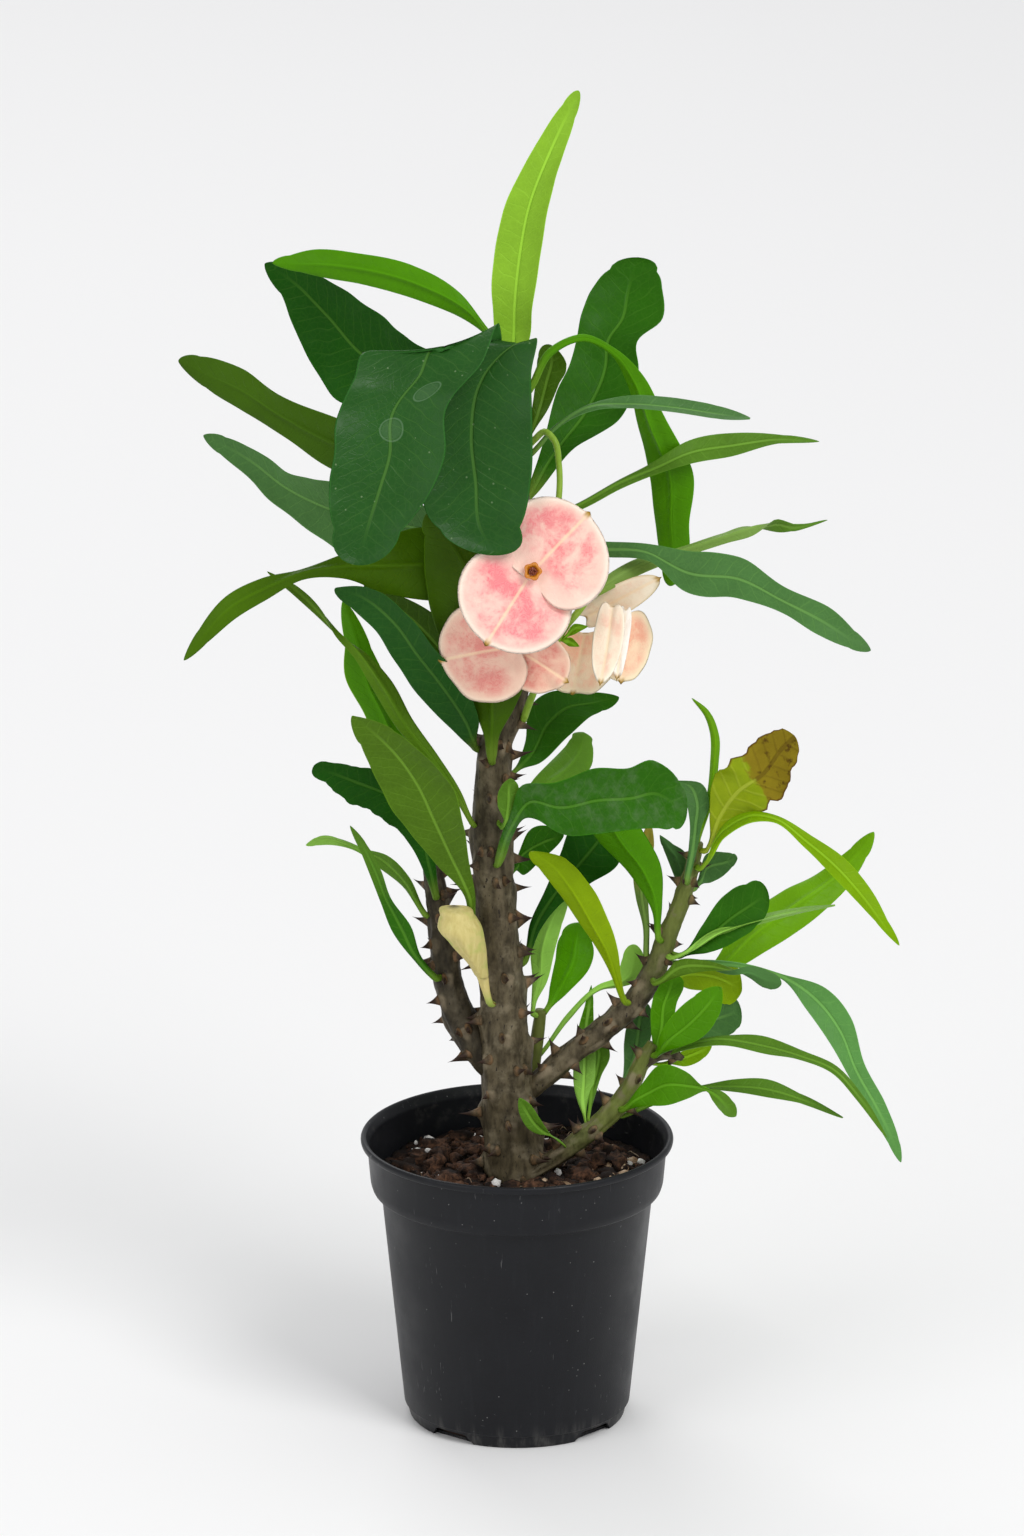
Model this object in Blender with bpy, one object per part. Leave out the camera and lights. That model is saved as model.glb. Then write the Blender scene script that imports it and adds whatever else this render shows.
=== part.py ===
"""Crown of thorns plant (a large-flowered Euphorbia milii hybrid) in a 12.5 cm plastic nursery pot.

The pot stands on z = 0 with its axis on the Z axis, and the front of the plant faces -Y.
Leaves, stems and flowers are laid out on lines of sight: a place is given in millimetres as
(right, up) on the upright plane through the pot's axis, and as a distance towards the viewer.
"""

import math

import bmesh
import bpy
import numpy as np
from mathutils import Matrix, Vector

MM = 0.001
GAP = 0.3

VIEWER = Vector((-2.0, -4000.0, 1570.0))
VIEWER_DISTANCE = 4000.0

POT_HEIGHT = 117.5
RIM_RADIUS = 62.5
RIM_BAND = 22.0
BAND_TOP_RADIUS = 59.8
BAND_FOOT_RADIUS = 58.4
BODY_TOP_RADIUS = 54.6
SEAM_RADIUS = 45.2
FOOT_RADIUS = 43.6
SEAM_HEIGHT = 5.5
WALL = 1.2
POT_SIDES = 56
NOTCH_WIDTH = 19.0
NOTCH_HEIGHT = 4.4
NOTCH_DEPTH = 5.0
NOTCH_ANGLES = (-44.0, -127.5, 173.0, 118.0, 66.0, 14.0)

SOIL_HEIGHT = 101.0
SOIL_FLOOR = WALL + 0.5
SOIL_LUMP = 1.6

STEM_SIDES = 12
STEM_STEP = 7.5
THORN_LENGTH = 6.5
THORN_CLEARANCE = 1.5
GOLDEN_ANGLE = 137.5

LEAF_ROWS = 11
LEAF_LEAD = 2.0
PETIOLE_WIDTH = 3.0
PETIOLE_THICKNESS = 2.6
BLADE_THICKNESS = 1.1
BLADE_CUP = 0.10

BRACT_RINGS = 3
BRACT_SIDES = 18
BRACT_THICKNESS = 0.9
BRACT_BASE_SHARE = 0.40

# Each stem is a list of (right, up, towards the viewer, radius).
STEMS = {
    "main_stem": (
        (0, 72, 0, 8.0), (-1, 88, 0, 11.0), (-1, 102, 0, 13.0), (-2, 118, 0, 12.5),
        (-4, 140, 0, 11.2), (-5, 160, 0, 10.6), (-6, 180, 0, 10.0), (-7.5, 200, 0, 9.3),
        (-9, 220, 1, 8.6), (-10, 240, 1, 8.6), (-10, 256, 2, 8.0), (-9.5, 270, 2, 7.4),
        (-7.5, 283, 2, 6.6), (-2.5, 294, 2, 5.2), (1, 306, 1, 4.6), (2, 330, 0, 4.4),
        (1, 370, 0, 4.4), (0, 410, 1, 4.4), (-2, 432, 1, 4.0), (-3, 442, 1, 2.8),
    ),
    "left_stem": (
        (-6, 142, 0, 7.0), (-12, 150, -2, 7.4), (-20, 162, -4, 7.2), (-26, 178, -5, 6.6),
        (-29, 194, -5, 6.0), (-31, 210, -5, 5.0), (-33, 224, -5, 4.6), (-35, 234, -5, 3.6),
    ),
    "upper_right_branch": (
        (0, 132, -1, 4.8), (10, 141, -2, 4.9), (22, 152, -3, 5.0), (35, 162, -4, 5.2),
        (47, 174, -4, 5.2), (55, 188, -4, 4.9), (60, 202, -4, 4.5), (65, 216, -4, 3.9),
        (69, 228, -4, 3.3), (72, 240, -4, 2.4),
    ),
    "low_right_branch": (
        (2, 99, 7, 3.6), (13, 106, 7, 3.8), (25, 115, 6, 4.2), (37, 126, 5, 4.4),
        (45, 137, 4, 4.0), (50, 148, 3, 3.4), (54, 156, 3, 2.6),
    ),
    "back_shoot": (
        (1, 128, -7, 3.0), (5, 136, -10, 3.0), (7, 150, -12, 2.9), (8.5, 162, -13, 2.8),
        (9.5, 170, -13, 2.4),
    ),
    "flower_cluster_stalk": (
        (2.5, 291, 4, 1.6), (4.5, 297, 9, 1.6), (8, 306, 16, 1.5), (11, 313, 22, 1.4),
        (14, 320, 25.3, 1.4), (19, 329, 22, 1.4), (24, 335.5, 18, 1.5), (27, 339.5, 16, 1.3),
    ),
    "front_flower_stalk": (
        (3.5, 402, 2, 1.4), (7, 406, 6, 1.4), (11, 409, 9, 1.4), (14.5, 405.5, 12, 1.4),
        (16.3, 396, 15, 1.3), (16.3, 382, 20, 1.3), (13, 366, 26, 1.3), (6.5, 353, 31, 1.5),
    ),
}

# For each thorny stem: how far along it the thorns start and stop.
THORNS = {
    "main_stem": (44.0, 200.0),
    "left_stem": (20.0, 88.0),
    "upper_right_branch": (24.0, 118.0),
    "low_right_branch": (24.0, 66.0),
}

# Each leaf is its stem and rows of (left edge right, up, right edge right, up, towards the
# viewer, how much nearer the right edge is). The last row is the tip. Left and right are as
# seen from the leaf's base looking to its tip, over its upper surface.
LEAVES = {
    "top_young_leaf": ("main_stem", (
        (-4.5, 437, 0.5, 437, -5, 0), (-7.5, 444, 4, 444, -7, 2), (-9.6, 460, 6, 459, -7, 5),
        (-9, 480, 9, 480, -8, 6),
        (-2, 507, 14, 508, -9, 5), (8, 526, 18, 521, -14, 4), (18, 541, 22.5, 536, -19, 2),
        (24, 546, 24, 546, -20, 0))),
    "upper_left_long_leaf": ("main_stem", (
        (-9, 448, -9.5, 445.5, -4, 0), (-22, 465, -20, 454, -8, 3), (-40, 476, -38, 462, -14, 4),
        (-61, 481, -60, 468.5, -20, 4), (-80, 482.5, -76, 471.5, -26, 3),
        (-89, 480, -85, 473.8, -29, 2), (-95, 477, -95, 477, -30, 0))),
    "upper_left_dark_leaf": ("main_stem", (
        (-10, 427, -10, 430, -7, 0), (-40, 418, -38, 444, -16, 6), (-70, 422, -52, 455, -27, 8),
        (-84, 445, -68, 467, -38, 8), (-92, 465, -85, 475, -46, 4), (-98, 477, -98, 477, -50, 0))),
    "big_front_left_leaf": ("main_stem", (
        (-6, 440, -9, 438, 8, 0), (-6, 447, -30, 440, 13, 0), (-8, 452.5, -58, 442, 20, 0),
        (-13, 438, -64, 430, 31, 0), (-28, 417, -71, 412, 39, 0), (-28, 400, -71.5, 400, 44, 0),
        (-33, 386, -73.5, 388, 48, 0), (-47, 367, -71, 368, 52, 0), (-62, 354.5, -62, 354.5, 54, 0))),
    "big_front_right_leaf": ("main_stem", (
        (2, 438, -1, 438, 7, 0), (5, 446, -5, 445, 10, 0), (7, 447, -7, 446, 14, 0),
        (5.5, 432, -34, 428, 24, 0), (6, 410, -42, 404, 30, 0), (5.5, 390, -38, 386, 34, 0),
        (1, 370, -30, 369, 37, 0), (-8, 358.5, -8, 358.5, 39, 0))),
    "upper_right_paddle_leaf": ("main_stem", (
        (4, 386, 7, 383, -6, 0), (10, 404, 22, 402, -14, 3), (15, 424, 40, 414, -25, 5),
        (21, 438, 47.3, 434, -36, 5), (23.3, 448, 46.8, 445, -41, 5),
        (25.5, 458, 56.5, 455, -47, 4), (29.5, 467.5, 56.5, 466, -54, 3),
        (36.5, 475, 54, 474, -58, 1), (47, 479.5, 47, 479.5, -60, 0))),
    "arching_right_leaf": ("main_stem", (
        (6.5, 426, 4, 427.5, 1, 0), (14, 440, 12, 442.5, -1, 0), (25, 445.5, 25, 448.5, -5, 0),
        (36.5, 440, 38.5, 442.5, -10, 0), (43, 428, 49, 432, -14, 2), (47, 412, 58, 414, -17, 4),
        (52, 390, 69, 391, -19, 4), (54, 372, 67.5, 373, -20, 4), (57, 355, 66, 354, -21, 2),
        (60, 346, 60, 346, -21, 0))),
    "right_upper_leaf": ("main_stem", (
        (6, 402, 7.5, 400.5, -2, 0), (14, 411, 15, 409.5, -1, 0), (28, 420, 29, 417.5, 3, 3),
        (42, 423.5, 44, 418.5, 8, 9), (60, 423, 62, 416.8, 14, 12), (78, 419.5, 78, 414.3, 20, 9),
        (91, 414.5, 91, 414.5, 25, 0))),
    "right_middle_leaf": ("main_stem", (
        (8, 373, 10, 371, -2, 0), (24, 380, 26.5, 378, -4, 2), (40, 389.5, 41, 386, -6, 3),
        (52, 396, 54, 391.5, -8, 4), (66, 405, 66, 395.5, -12, 7), (85, 408.5, 84, 399, -22, 7),
        (105, 407.5, 103, 404.3, -31, 2), (118, 405, 118, 405, -35, 0))),
    "right_twisted_leaf": ("flower_cluster_stalk", (
        (29, 340, 27.5, 342, 16, 0), (35, 343.5, 32, 347.5, 14, -2), (48, 350.5, 44, 356, 8, -3),
        (66, 358, 64, 362, 4, -3), (82, 363.5, 80, 367.5, 2, -3), (93, 367, 91, 370.5, 1, -5),
        (97, 370, 97, 369, 0, -6), (101, 373.3, 102, 368, -1, -4), (109, 371.3, 108, 368.5, -1, 0),
        (121.5, 373, 121.5, 373, -1, 0))),
    "right_front_large_leaf": ("main_stem", (
        (6, 366, 6, 363, 3, 0), (33, 364.3, 33, 358, 9, 2), (50, 363.5, 52, 356, 15, 6),
        (68, 360.3, 66, 343.5, 23, 10), (88, 357.7, 86, 341, 31, 10),
        (105, 345.5, 105, 334.5, 38, 8), (123, 337, 118, 326, 43, 6),
        (133, 327, 131, 320.5, 45, 4), (139, 319.5, 139, 319.5, 45, 0))),
    "left_upper_olive_leaf": ("main_stem", (
        (-6, 388, -6, 385, -8, 0), (-40, 403, -42, 385, -16, 5), (-70, 414.5, -73, 394, -24, 6),
        (-92, 423.5, -91, 407, -32, 5), (-108, 435, -108, 418, -39, 4),
        (-124, 439.5, -122, 427.5, -44, 2), (-132, 437.5, -132, 437.5, -45, 0))),
    "left_middle_leaf": ("main_stem", (
        (-5, 362, -5, 365, -9, 0), (-40, 357, -40, 380, -26, 6), (-72, 362, -74, 388.5, -42, 8),
        (-93, 378, -90, 393, -53, 6), (-107, 392, -104, 402.5, -62, 4),
        (-117, 401, -115, 407, -68, 2), (-122.5, 407.5, -122.5, 407.5, -70, 0))),
    "left_arched_leaf": ("main_stem", (
        (-6, 347, -6, 344, -3, 0), (-36, 370, -34, 340, 5, 6), (-52, 366, -52, 343, 10, 6),
        (-70, 358.5, -68, 349, 15, 4), (-85, 352.8, -84, 348.5, 19, 3),
        (-100, 349.3, -98, 340.5, 22, 3), (-114, 342, -110, 333, 24, 3),
        (-125, 328, -122, 322.5, 25, 1), (-131, 315.5, -131, 315.5, 25, 0))),
    "centre_olive_leaf": ("main_stem", (
        (-8, 276, -12, 276, 11, 0), (-7, 284, -13, 284, 13, 0), (-1, 296, -18, 297, 14, -2),
        (6, 315, -27, 315, 15, -3), (6, 335, -34, 336, 15, -3), (-6, 358, -36.5, 356, 15, -3),
        (-24, 372, -36, 368, 15, 0), (-34.5, 376.5, -34.5, 376.5, 15, 0))),
    "left_dark_blue_leaf": ("main_stem", (
        (-18, 279, -16, 282, 5, 0), (-23, 284, -15, 290, 14, 2), (-37, 299, -21, 306, 19, 5),
        (-47, 313, -32, 320, 21, 6), (-55, 327, -43, 334, 22, 5), (-66, 338, -58, 345, 22, 3),
        (-71.5, 345, -71.5, 345, 22, 0))),
    "left_ribbed_leaf": ("main_stem", (
        (-12, 293.5, -10.5, 295.5, -2, 0), (-24, 301, -16, 308, -4, 2), (-36, 313, -25, 325, -6, 4),
        (-47, 326, -36, 337, -9, 4), (-56, 338, -50, 343.5, -11, 2),
        (-60, 346.5, -60, 346.5, -12, 0))),
    "long_narrow_left_leaf": ("main_stem", (
        (-17.5, 250, -19.5, 249, 6, 0), (-22, 261, -25, 259, 7, 0), (-31, 276, -35, 273, 7, 1),
        (-41, 291, -47, 287, 7, 1), (-50, 308, -57, 304, 6, 1), (-60, 319, -64, 316.5, 5, 2),
        (-71.5, 326.7, -71.7, 326, 4, 4), (-79, 334, -76.3, 335.5, 3, 2), (-89, 343.5, -85, 345, 1, 0),
        (-98, 352, -98, 352, 0, 0))),
    "bright_back_left_leaf": ("left_stem", (
        (-33, 236, -36, 236, -9, 0), (-34, 250, -42, 252, -13, 0), (-38, 270, -54, 276, -20, -2),
        (-43, 287, -60, 293, -27, -3), (-49, 302, -67.5, 308, -33, -3),
        (-58, 322, -67.5, 324, -38, -2), (-68, 340.5, -68, 340.5, -40, 0))),
    "left_front_leaf": ("main_stem", (
        (-19, 206, -16, 206, 8, 0), (-21, 218, -16.5, 218, 14, 0), (-32, 231, -19, 232, 21, 2),
        (-44, 246, -21, 247, 28, 3), (-53, 260.5, -26, 264, 34, 3), (-58.5, 273, -37, 277, 39, 3),
        (-62, 282, -50, 287, 43, 1), (-65, 292.5, -65, 292.5, 45, 0))),
    "left_dark_lobed_leaf": ("left_stem", (
        (-34, 219, -31, 220, 2, 0), (-37, 228, -32, 230, 5, 0), (-43, 240, -34, 248, 10, 3),
        (-54, 251, -43, 263, 17, 4), (-68, 258, -60, 271, 24, 3), (-76, 265.5, -73, 272.7, 28, 1),
        (-80.5, 271, -80.5, 271, 30, 0))),
    "left_bent_leaf": ("left_stem", (
        (-38.5, 211, -37, 213, -4, 0), (-45, 221.5, -43, 226, -6, 2),
        (-54, 229, -51, 234.5, -9, 3), (-63, 236, -62, 237.8, -13, 1),
        (-74, 239, -75, 243, -19, 2), (-80, 238.8, -79.5, 242, -23, 1),
        (-83.5, 239, -83.5, 239, -25, 0))),
    "left_narrow_leaf": ("left_stem", (
        (-35, 184, -33, 186, 4, 0), (-41, 191, -38, 192.5, 6, 0), (-49, 202, -42, 205, 8, 2),
        (-54, 215, -50, 217, 10, 2), (-58, 226, -54, 229, 12, 1), (-62.5, 238, -60, 240, 14, 0),
        (-66, 247, -66, 247, 15, 0))),
    "dry_rolled_leaf": ("main_stem", (
        (-10, 175, -13, 175, 11, 0), (-11.5, 188, -19, 190, 13, 0), (-12.5, 199, -27, 200, 14, 0),
        (-15, 208, -31.5, 207, 14, 0), (-19, 212, -29, 212, 14, 0), (-25, 214, -25, 214, 14, 0))),
    "middle_right_dark_leaf": ("main_stem", (
        (-1, 271, 1, 270, -6, 0), (3, 281, 9, 273, -12, 3), (5, 296, 20, 284, -20, 5),
        (14, 303, 28, 291.5, -27, 5), (27, 302, 34, 295, -33, 3), (40, 300.5, 40, 300.5, -35, 0))),
    "middle_right_round_leaf": ("main_stem", (
        (0, 253, -1, 256, -10, 0), (12, 260, 7, 267, -20, 0), (25, 266, 13, 273.5, -30, -2),
        (30, 275, 19, 280, -38, -2), (28.5, 283, 23, 284.5, -43, 0),
        (26, 285.5, 26, 285.5, -45, 0))),
    "middle_front_wide_leaf": ("main_stem", (
        (-8.8, 233, -5, 233, 11, 0), (-6.3, 243, -2, 242, 14, 0), (-2.3, 253, 3, 250, 18, 0),
        (1, 263, 8, 249.5, 22, 2), (15, 265, 17, 243.5, 28, 4), (31, 271, 31, 243.5, 35, 5),
        (44, 271, 45, 245.3, 39, 5), (54, 274, 55, 246, 41, 5), (65, 263, 62, 246.5, 42, 3),
        (67, 251, 67, 251, 42, 0))),
    "centre_right_olive_leaf": ("main_stem", (
        (3, 194, 5, 192, -6, 0), (5, 206, 9, 203, -7.5, 0), (11, 220, 17, 214, -10, 2),
        (17, 235, 29, 223, -14, 5), (22, 247, 40, 231, -19, 5), (33, 253, 42, 244, -24, 3),
        (41, 253, 41, 253, -26, 0))),
    "right_bright_leaf": ("upper_right_branch", (
        (57, 203, 54.5, 202, 1, 0), (57.5, 214, 53.5, 211, 1, 0), (57, 230, 44, 227.5, 1, -2),
        (50, 244, 31, 242, 0, -3), (42, 255, 27, 252, -1, -2), (30, 262, 30, 262, -2, 0))),
    "yellow_green_leaf": ("upper_right_branch", (
        (43, 176, 40.5, 175.5, 5, 0), (41.5, 183, 37.5, 184, 9, 0), (40, 195, 32, 195, 12, -1),
        (36.5, 207, 23, 209, 14, -2), (29, 222, 13.5, 223, 15, -2), (19, 233, 8, 230.5, 15, -1),
        (5.5, 236.5, 5.5, 236.5, 15, 0))),
    "shoot_pale_leaf": ("back_shoot", (
        (7.5, 172, 5.5, 171, -10, 0), (12, 182, 6, 183, -12, 0), (15, 195, 5.5, 195, -17, -1),
        (18, 207, 10, 208.5, -23, -1), (20, 219, 20, 219, -28, 0))),
    "shoot_bright_leaf": ("back_shoot", (
        (12.5, 169.5, 11.5, 171.5, -14, 0), (20, 177, 13, 180, -19, 0),
        (29, 188, 15, 190, -25, -2), (29.5, 199, 18, 202, -31, -2),
        (25, 206.5, 25, 206.5, -35, 0))),
    "sword_leaf": ("upper_right_branch", (
        (73, 243, 70.5, 243, -3, 0), (77, 256, 74, 255, -6, 0), (79.5, 273, 76, 272, -10, 0),
        (79.5, 285, 76, 285, -14, 0), (76, 294, 73.5, 293, -18, 0),
        (68.7, 300, 68.7, 300, -20, 0))),
    "browning_leaf": ("upper_right_branch", (
        (75.5, 240, 76.5, 238, 0, 0), (76, 252, 84, 249, 1, 2), (77.5, 268, 96, 253, 5, 5),
        (88, 276, 105, 260, 8, 6), (100, 285.5, 109, 273, 10, 4), (109.5, 284, 109.5, 284, 11, 0))),
    "lime_bent_leaf": ("upper_right_branch", (
        (74, 232, 75, 230.5, 3, 0), (83, 249, 82, 242, 8, 4), (94, 253, 93, 248.5, 12, 5),
        (102, 251.5, 101, 248.5, 15, 3), (117, 242.5, 113.5, 238, 20, 4),
        (130, 233, 124, 227, 25, 6), (141, 219, 134, 216, 28, 5), (147.5, 206, 143, 206, 30, 2),
        (151.5, 197, 151.5, 197, 30, 0))),
    "dark_oval_leaf": ("upper_right_branch", (
        (66.5, 195, 67, 192.5, 0, 0), (73, 205, 76, 194, 5, 3), (82, 218, 87, 199, 8, 6),
        (92, 222.5, 96, 207.5, 10, 4), (99.5, 219, 99.5, 219, 10, 0))),
    "long_back_leaf": ("upper_right_branch", (
        (59, 180.5, 58, 182, -9, 0), (80, 184, 76, 188, -20, -2), (98, 194, 88, 207, -34, -6),
        (117, 207.5, 104, 219, -46, -7), (131, 221.5, 120, 228, -55, -5),
        (138.5, 235, 133, 238.5, -59, -2), (141, 244.5, 141, 244.5, -60, 0))),
    "long_hanging_leaf": ("upper_right_branch", (
        (63, 190.8, 64, 188.8, -4, 0), (76, 191, 76, 188.8, -4, 0), (92, 189, 92, 187, -1, 0),
        (106, 184.8, 105.5, 182.5, 4, 1), (122, 179.5, 115, 170, 10, 4),
        (133, 166, 125, 155, 16, 5), (138, 148, 132, 142, 20, 4), (147, 130, 141, 126, 23, 4),
        (152.5, 114, 148.5, 113, 25, 2), (153.2, 105.5, 153.2, 105.5, 25, 0))),
    "low_front_glossy_leaf": ("low_right_branch", (
        (55, 152.5, 57, 151, 7, 0), (57, 160, 64, 154, 14, 2), (62, 168, 73, 158, 18, 4),
        (71, 176, 79.5, 167, 20, 4), (81, 179.5, 81, 179.5, 20, 0))),
    "long_arching_leaf": ("low_right_branch", (
        (57, 152, 58, 150, 0, 0), (66, 156, 67, 153, 8, 2), (83, 159.2, 83, 155, 20, 5),
        (98, 159, 99, 151.3, 28, 7), (114, 152.7, 112, 149, 35, 5),
        (127, 146.5, 125, 143.5, 40, 3), (138, 133.5, 136, 131, 44, 2),
        (147.5, 116, 147.5, 116, 45, 0))),
    "low_far_leaf": ("low_right_branch", (
        (43, 126.5, 44, 125, 2, 0), (58, 134, 59, 131.5, 3, 2), (73, 138, 73, 136, 4, 3),
        (87, 140.8, 87, 135.3, 5, 6), (100, 140.7, 100, 133, 6, 7), (114, 134, 114, 130.3, 7, 4),
        (130, 124.5, 130, 124.5, 7, 0))),
    "low_near_leaf": ("low_right_branch", (
        (43, 130, 44, 127.5, 11, 0), (49, 138, 51, 129.3, 17, 4), (58, 147, 60, 129.8, 24, 7),
        (68, 143.5, 68, 132.5, 29, 5), (75, 137, 75.5, 135.5, 33, 0), (81, 136, 78, 131.5, 37, 3),
        (86.5, 130, 83, 126, 40, 2), (87.3, 125, 87.3, 125, 40, 0))),
}

# Each bract is its flower's centre (right, up, towards), the way the flower faces (degrees to
# the right, degrees up), the bract's direction round the centre, how far it is folded forward
# from the flat flower, its length, its width as a share of that, and its lift off the flower.
BRACTS = {
    "front_flower_upper_bract": ((6, 352, 34), (4, 18), 44, 4, 31.0, 1.17, 0.9),
    "front_flower_lower_bract": ((6, 352, 34), (4, 18), 237, 2, 33.5, 1.17, -0.9),
    "rear_flower_left_bract": ((-2, 321, 27), (-8, 0), 194, -8, 25.5, 1.22, 0.9),
    "rear_flower_right_bract": ((-2, 321, 27), (-8, 0), 335, -8, 24.5, 0.86, -0.9),
    "side_flower_upper_bract": ((24, 331, 8), (30, -35), 33, 0, 35.0, 0.42, 2.2),
    "side_flower_lower_bract": ((23, 331, 8), (14, -10), 276, -8, 29.0, 0.70, -1.6),
    "half_open_left_bract": ((33.5, 335, 18), (-38, 2), 268, 0, 29.0, 0.42, 0.0),
    "half_open_right_bract": ((45, 336, 18.7), (34, 2), 260, 0, 28.0, 0.52, 0.0),
}

CYATHIA = {
    "front_flower_centre": ((6, 352, 35.8), (4, 18), 3.3, 3.2),
}

COLOURS = {
    "pot": ((0.024, 0.025, 0.028), 0.5),
    "soil": ((0.045, 0.026, 0.016), 0.95),
    "stem": ((0.105, 0.083, 0.060), 0.85),
    "stalk": ((0.24, 0.38, 0.05), 0.5),
    "leaf": ((0.055, 0.155, 0.035), 0.4),
    "dry_leaf": ((0.55, 0.42, 0.17), 0.7),
    "bract": ((0.86, 0.55, 0.47), 0.5),
    "centre": ((0.60, 0.24, 0.03), 0.4),
}


def clear_scene():
    for item in list(bpy.data.objects):
        bpy.data.objects.remove(item, do_unlink=True)


def material(name):
    """The Principled material of one kind of part."""
    colour, roughness = COLOURS[name]
    made = bpy.data.materials.new(name)
    made.use_nodes = True
    shader = made.node_tree.nodes["Principled BSDF"]
    shader.inputs["Base Color"].default_value = (*colour, 1.0)
    shader.inputs["Roughness"].default_value = roughness
    return made


def add_object(name, shape, look):
    """A scene object from a bmesh in millimetres, with outward faces and smooth shading."""
    bmesh.ops.recalc_face_normals(shape, faces=shape.faces)
    bmesh.ops.scale(shape, vec=(MM, MM, MM), verts=shape.verts)
    mesh = bpy.data.meshes.new(name)
    shape.to_mesh(mesh)
    shape.free()
    mesh.shade_smooth()
    mesh.set_sharp_from_angle(angle=math.radians(50))
    made = bpy.data.objects.new(name, mesh)
    made.data.materials.append(material(look))
    bpy.context.scene.collection.objects.link(made)
    return made


def add_cutter(name, shape):
    """A hidden guide that is taken out of its neighbours."""
    made = add_object(name, shape, "stem")
    made.hide_render = True
    made.display_type = "WIRE"
    return made


def cut(target, cutter):
    """Takes the cutter's shape out of the target."""
    modifier = target.modifiers.new("clear_" + cutter.name, "BOOLEAN")
    modifier.operation = "DIFFERENCE"
    modifier.solver = "EXACT"
    modifier.object = cutter


def sighted(right, up, toward):
    """The point a distance in front of (right, up) of the axis plane, on its line of sight."""
    return Vector((right, 0.0, up)).lerp(VIEWER, toward / VIEWER_DISTANCE)


def row_distances(rows):
    """How far along the middles of the rows each row is."""
    spans = np.linalg.norm(np.diff((rows[:, 0:3] + rows[:, -3:]) / 2, axis=0), axis=1)
    return np.concatenate([[0.0], np.cumsum(spans)])


def smooth_rows(rows, knots, at):
    """Rows, and how they change, at distances along a smooth curve through the given rows."""
    slopes = np.gradient(rows, knots, axis=0)
    index = np.clip(np.searchsorted(knots, at, side="right") - 1, 0, len(knots) - 2)
    width = (knots[index + 1] - knots[index])[:, None]
    t = (at - knots[index])[:, None] / width
    behind = rows[index]
    ahead = rows[index + 1]
    leaving = slopes[index] * width
    coming = slopes[index + 1] * width
    places = (
        behind * (2 * t**3 - 3 * t**2 + 1)
        + leaving * (t**3 - 2 * t**2 + t)
        + ahead * (3 * t**2 - 2 * t**3)
        + coming * (t**3 - t**2)
    )
    changes = (
        (ahead - behind) * (6 * t - 6 * t**2)
        + leaving * (3 * t**2 - 4 * t + 1)
        + coming * (3 * t**2 - 2 * t)
    )
    return places, changes / width


def stem_rows(name, count):
    """Evenly spaced centres and radii along one stem."""
    places = np.array([sighted(*row[:3]) for row in STEMS[name]])
    rows = np.column_stack([places, [row[3] for row in STEMS[name]]])
    knots = row_distances(places)
    rows, _ = smooth_rows(rows, knots, np.linspace(0.0, knots[-1], count))
    return rows[:, 0:3], rows[:, 3]


def stem_length(name):
    centres, _ = stem_rows(name, 60)
    return float(np.linalg.norm(np.diff(centres, axis=0), axis=1).sum())


def ring_frames(centres):
    """Tangent and two cross directions at each centre, without twist along the way."""
    tangents = [Vector(step) for step in np.gradient(centres, axis=0)]
    side = tangents[0].normalized().orthogonal().normalized()
    frames = []
    for tangent in tangents:
        tangent.normalize()
        side = (side - tangent * side.dot(tangent)).normalized()
        frames.append((tangent, side, tangent.cross(side)))
    return frames


def add_ring(shape, centre, side, other, radius, sides):
    ring = []
    for index in range(sides):
        angle = math.tau * index / sides
        offset = side * math.cos(angle) + other * math.sin(angle)
        ring.append(shape.verts.new(Vector(centre) + offset * radius))
    return ring


def join_rings(shape, first, second):
    """A band of quads between two rings of the same number of points."""
    faces = []
    for index in range(len(first)):
        after = (index + 1) % len(first)
        faces.append(shape.faces.new((first[index], first[after], second[after], second[index])))
    return faces


def stem_shape(name, grow=0.0, thorns=True):
    """A lofted stem with closed ends, and thorns as drawn-out faces."""
    sides = STEM_SIDES if STEMS[name][0][3] > 2 else 8
    step = STEM_STEP if sides == STEM_SIDES else 5.0
    count = max(4, int(round(stem_length(name) / step)) + 1)
    centres, radii = stem_rows(name, count)
    centres[0] = centres[0] - (centres[1] - centres[0]) * grow / step
    shape = bmesh.new()
    bands = []
    before = None
    for centre, radius, frame in zip(centres, radii, ring_frames(centres)):
        ring = add_ring(shape, centre, frame[1], frame[2], radius + grow, sides)
        if before is None:
            shape.faces.new(ring)
        else:
            bands.append(join_rings(shape, before, ring))
        before = ring
    shape.faces.new(before)
    if thorns and name in THORNS:
        shape.normal_update()
        draw_thorns(shape, name, bands, stem_length(name) / (count - 1))
    return shape


def draw_thorns(shape, name, bands, spacing):
    """Draws faces out into thorns, two to a band, turning by the golden angle up the stem."""
    first, last = THORNS[name]
    taken = taken_places(name)
    bmesh.ops.recalc_face_normals(shape, faces=shape.faces)
    for index, band in enumerate(bands):
        if not first <= index * spacing <= last:
            continue
        for pick in (0, 1):
            turn = (2 * index + pick) * GOLDEN_ANGLE / 360.0
            face = band[int(turn * len(band)) % len(band)]
            foot = face.calc_center_median()
            tip = foot + face.normal * THORN_LENGTH
            if not crowded(taken, foot, tip):
                bmesh.ops.poke(shape, faces=[face])["verts"][0].co = tip


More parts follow.
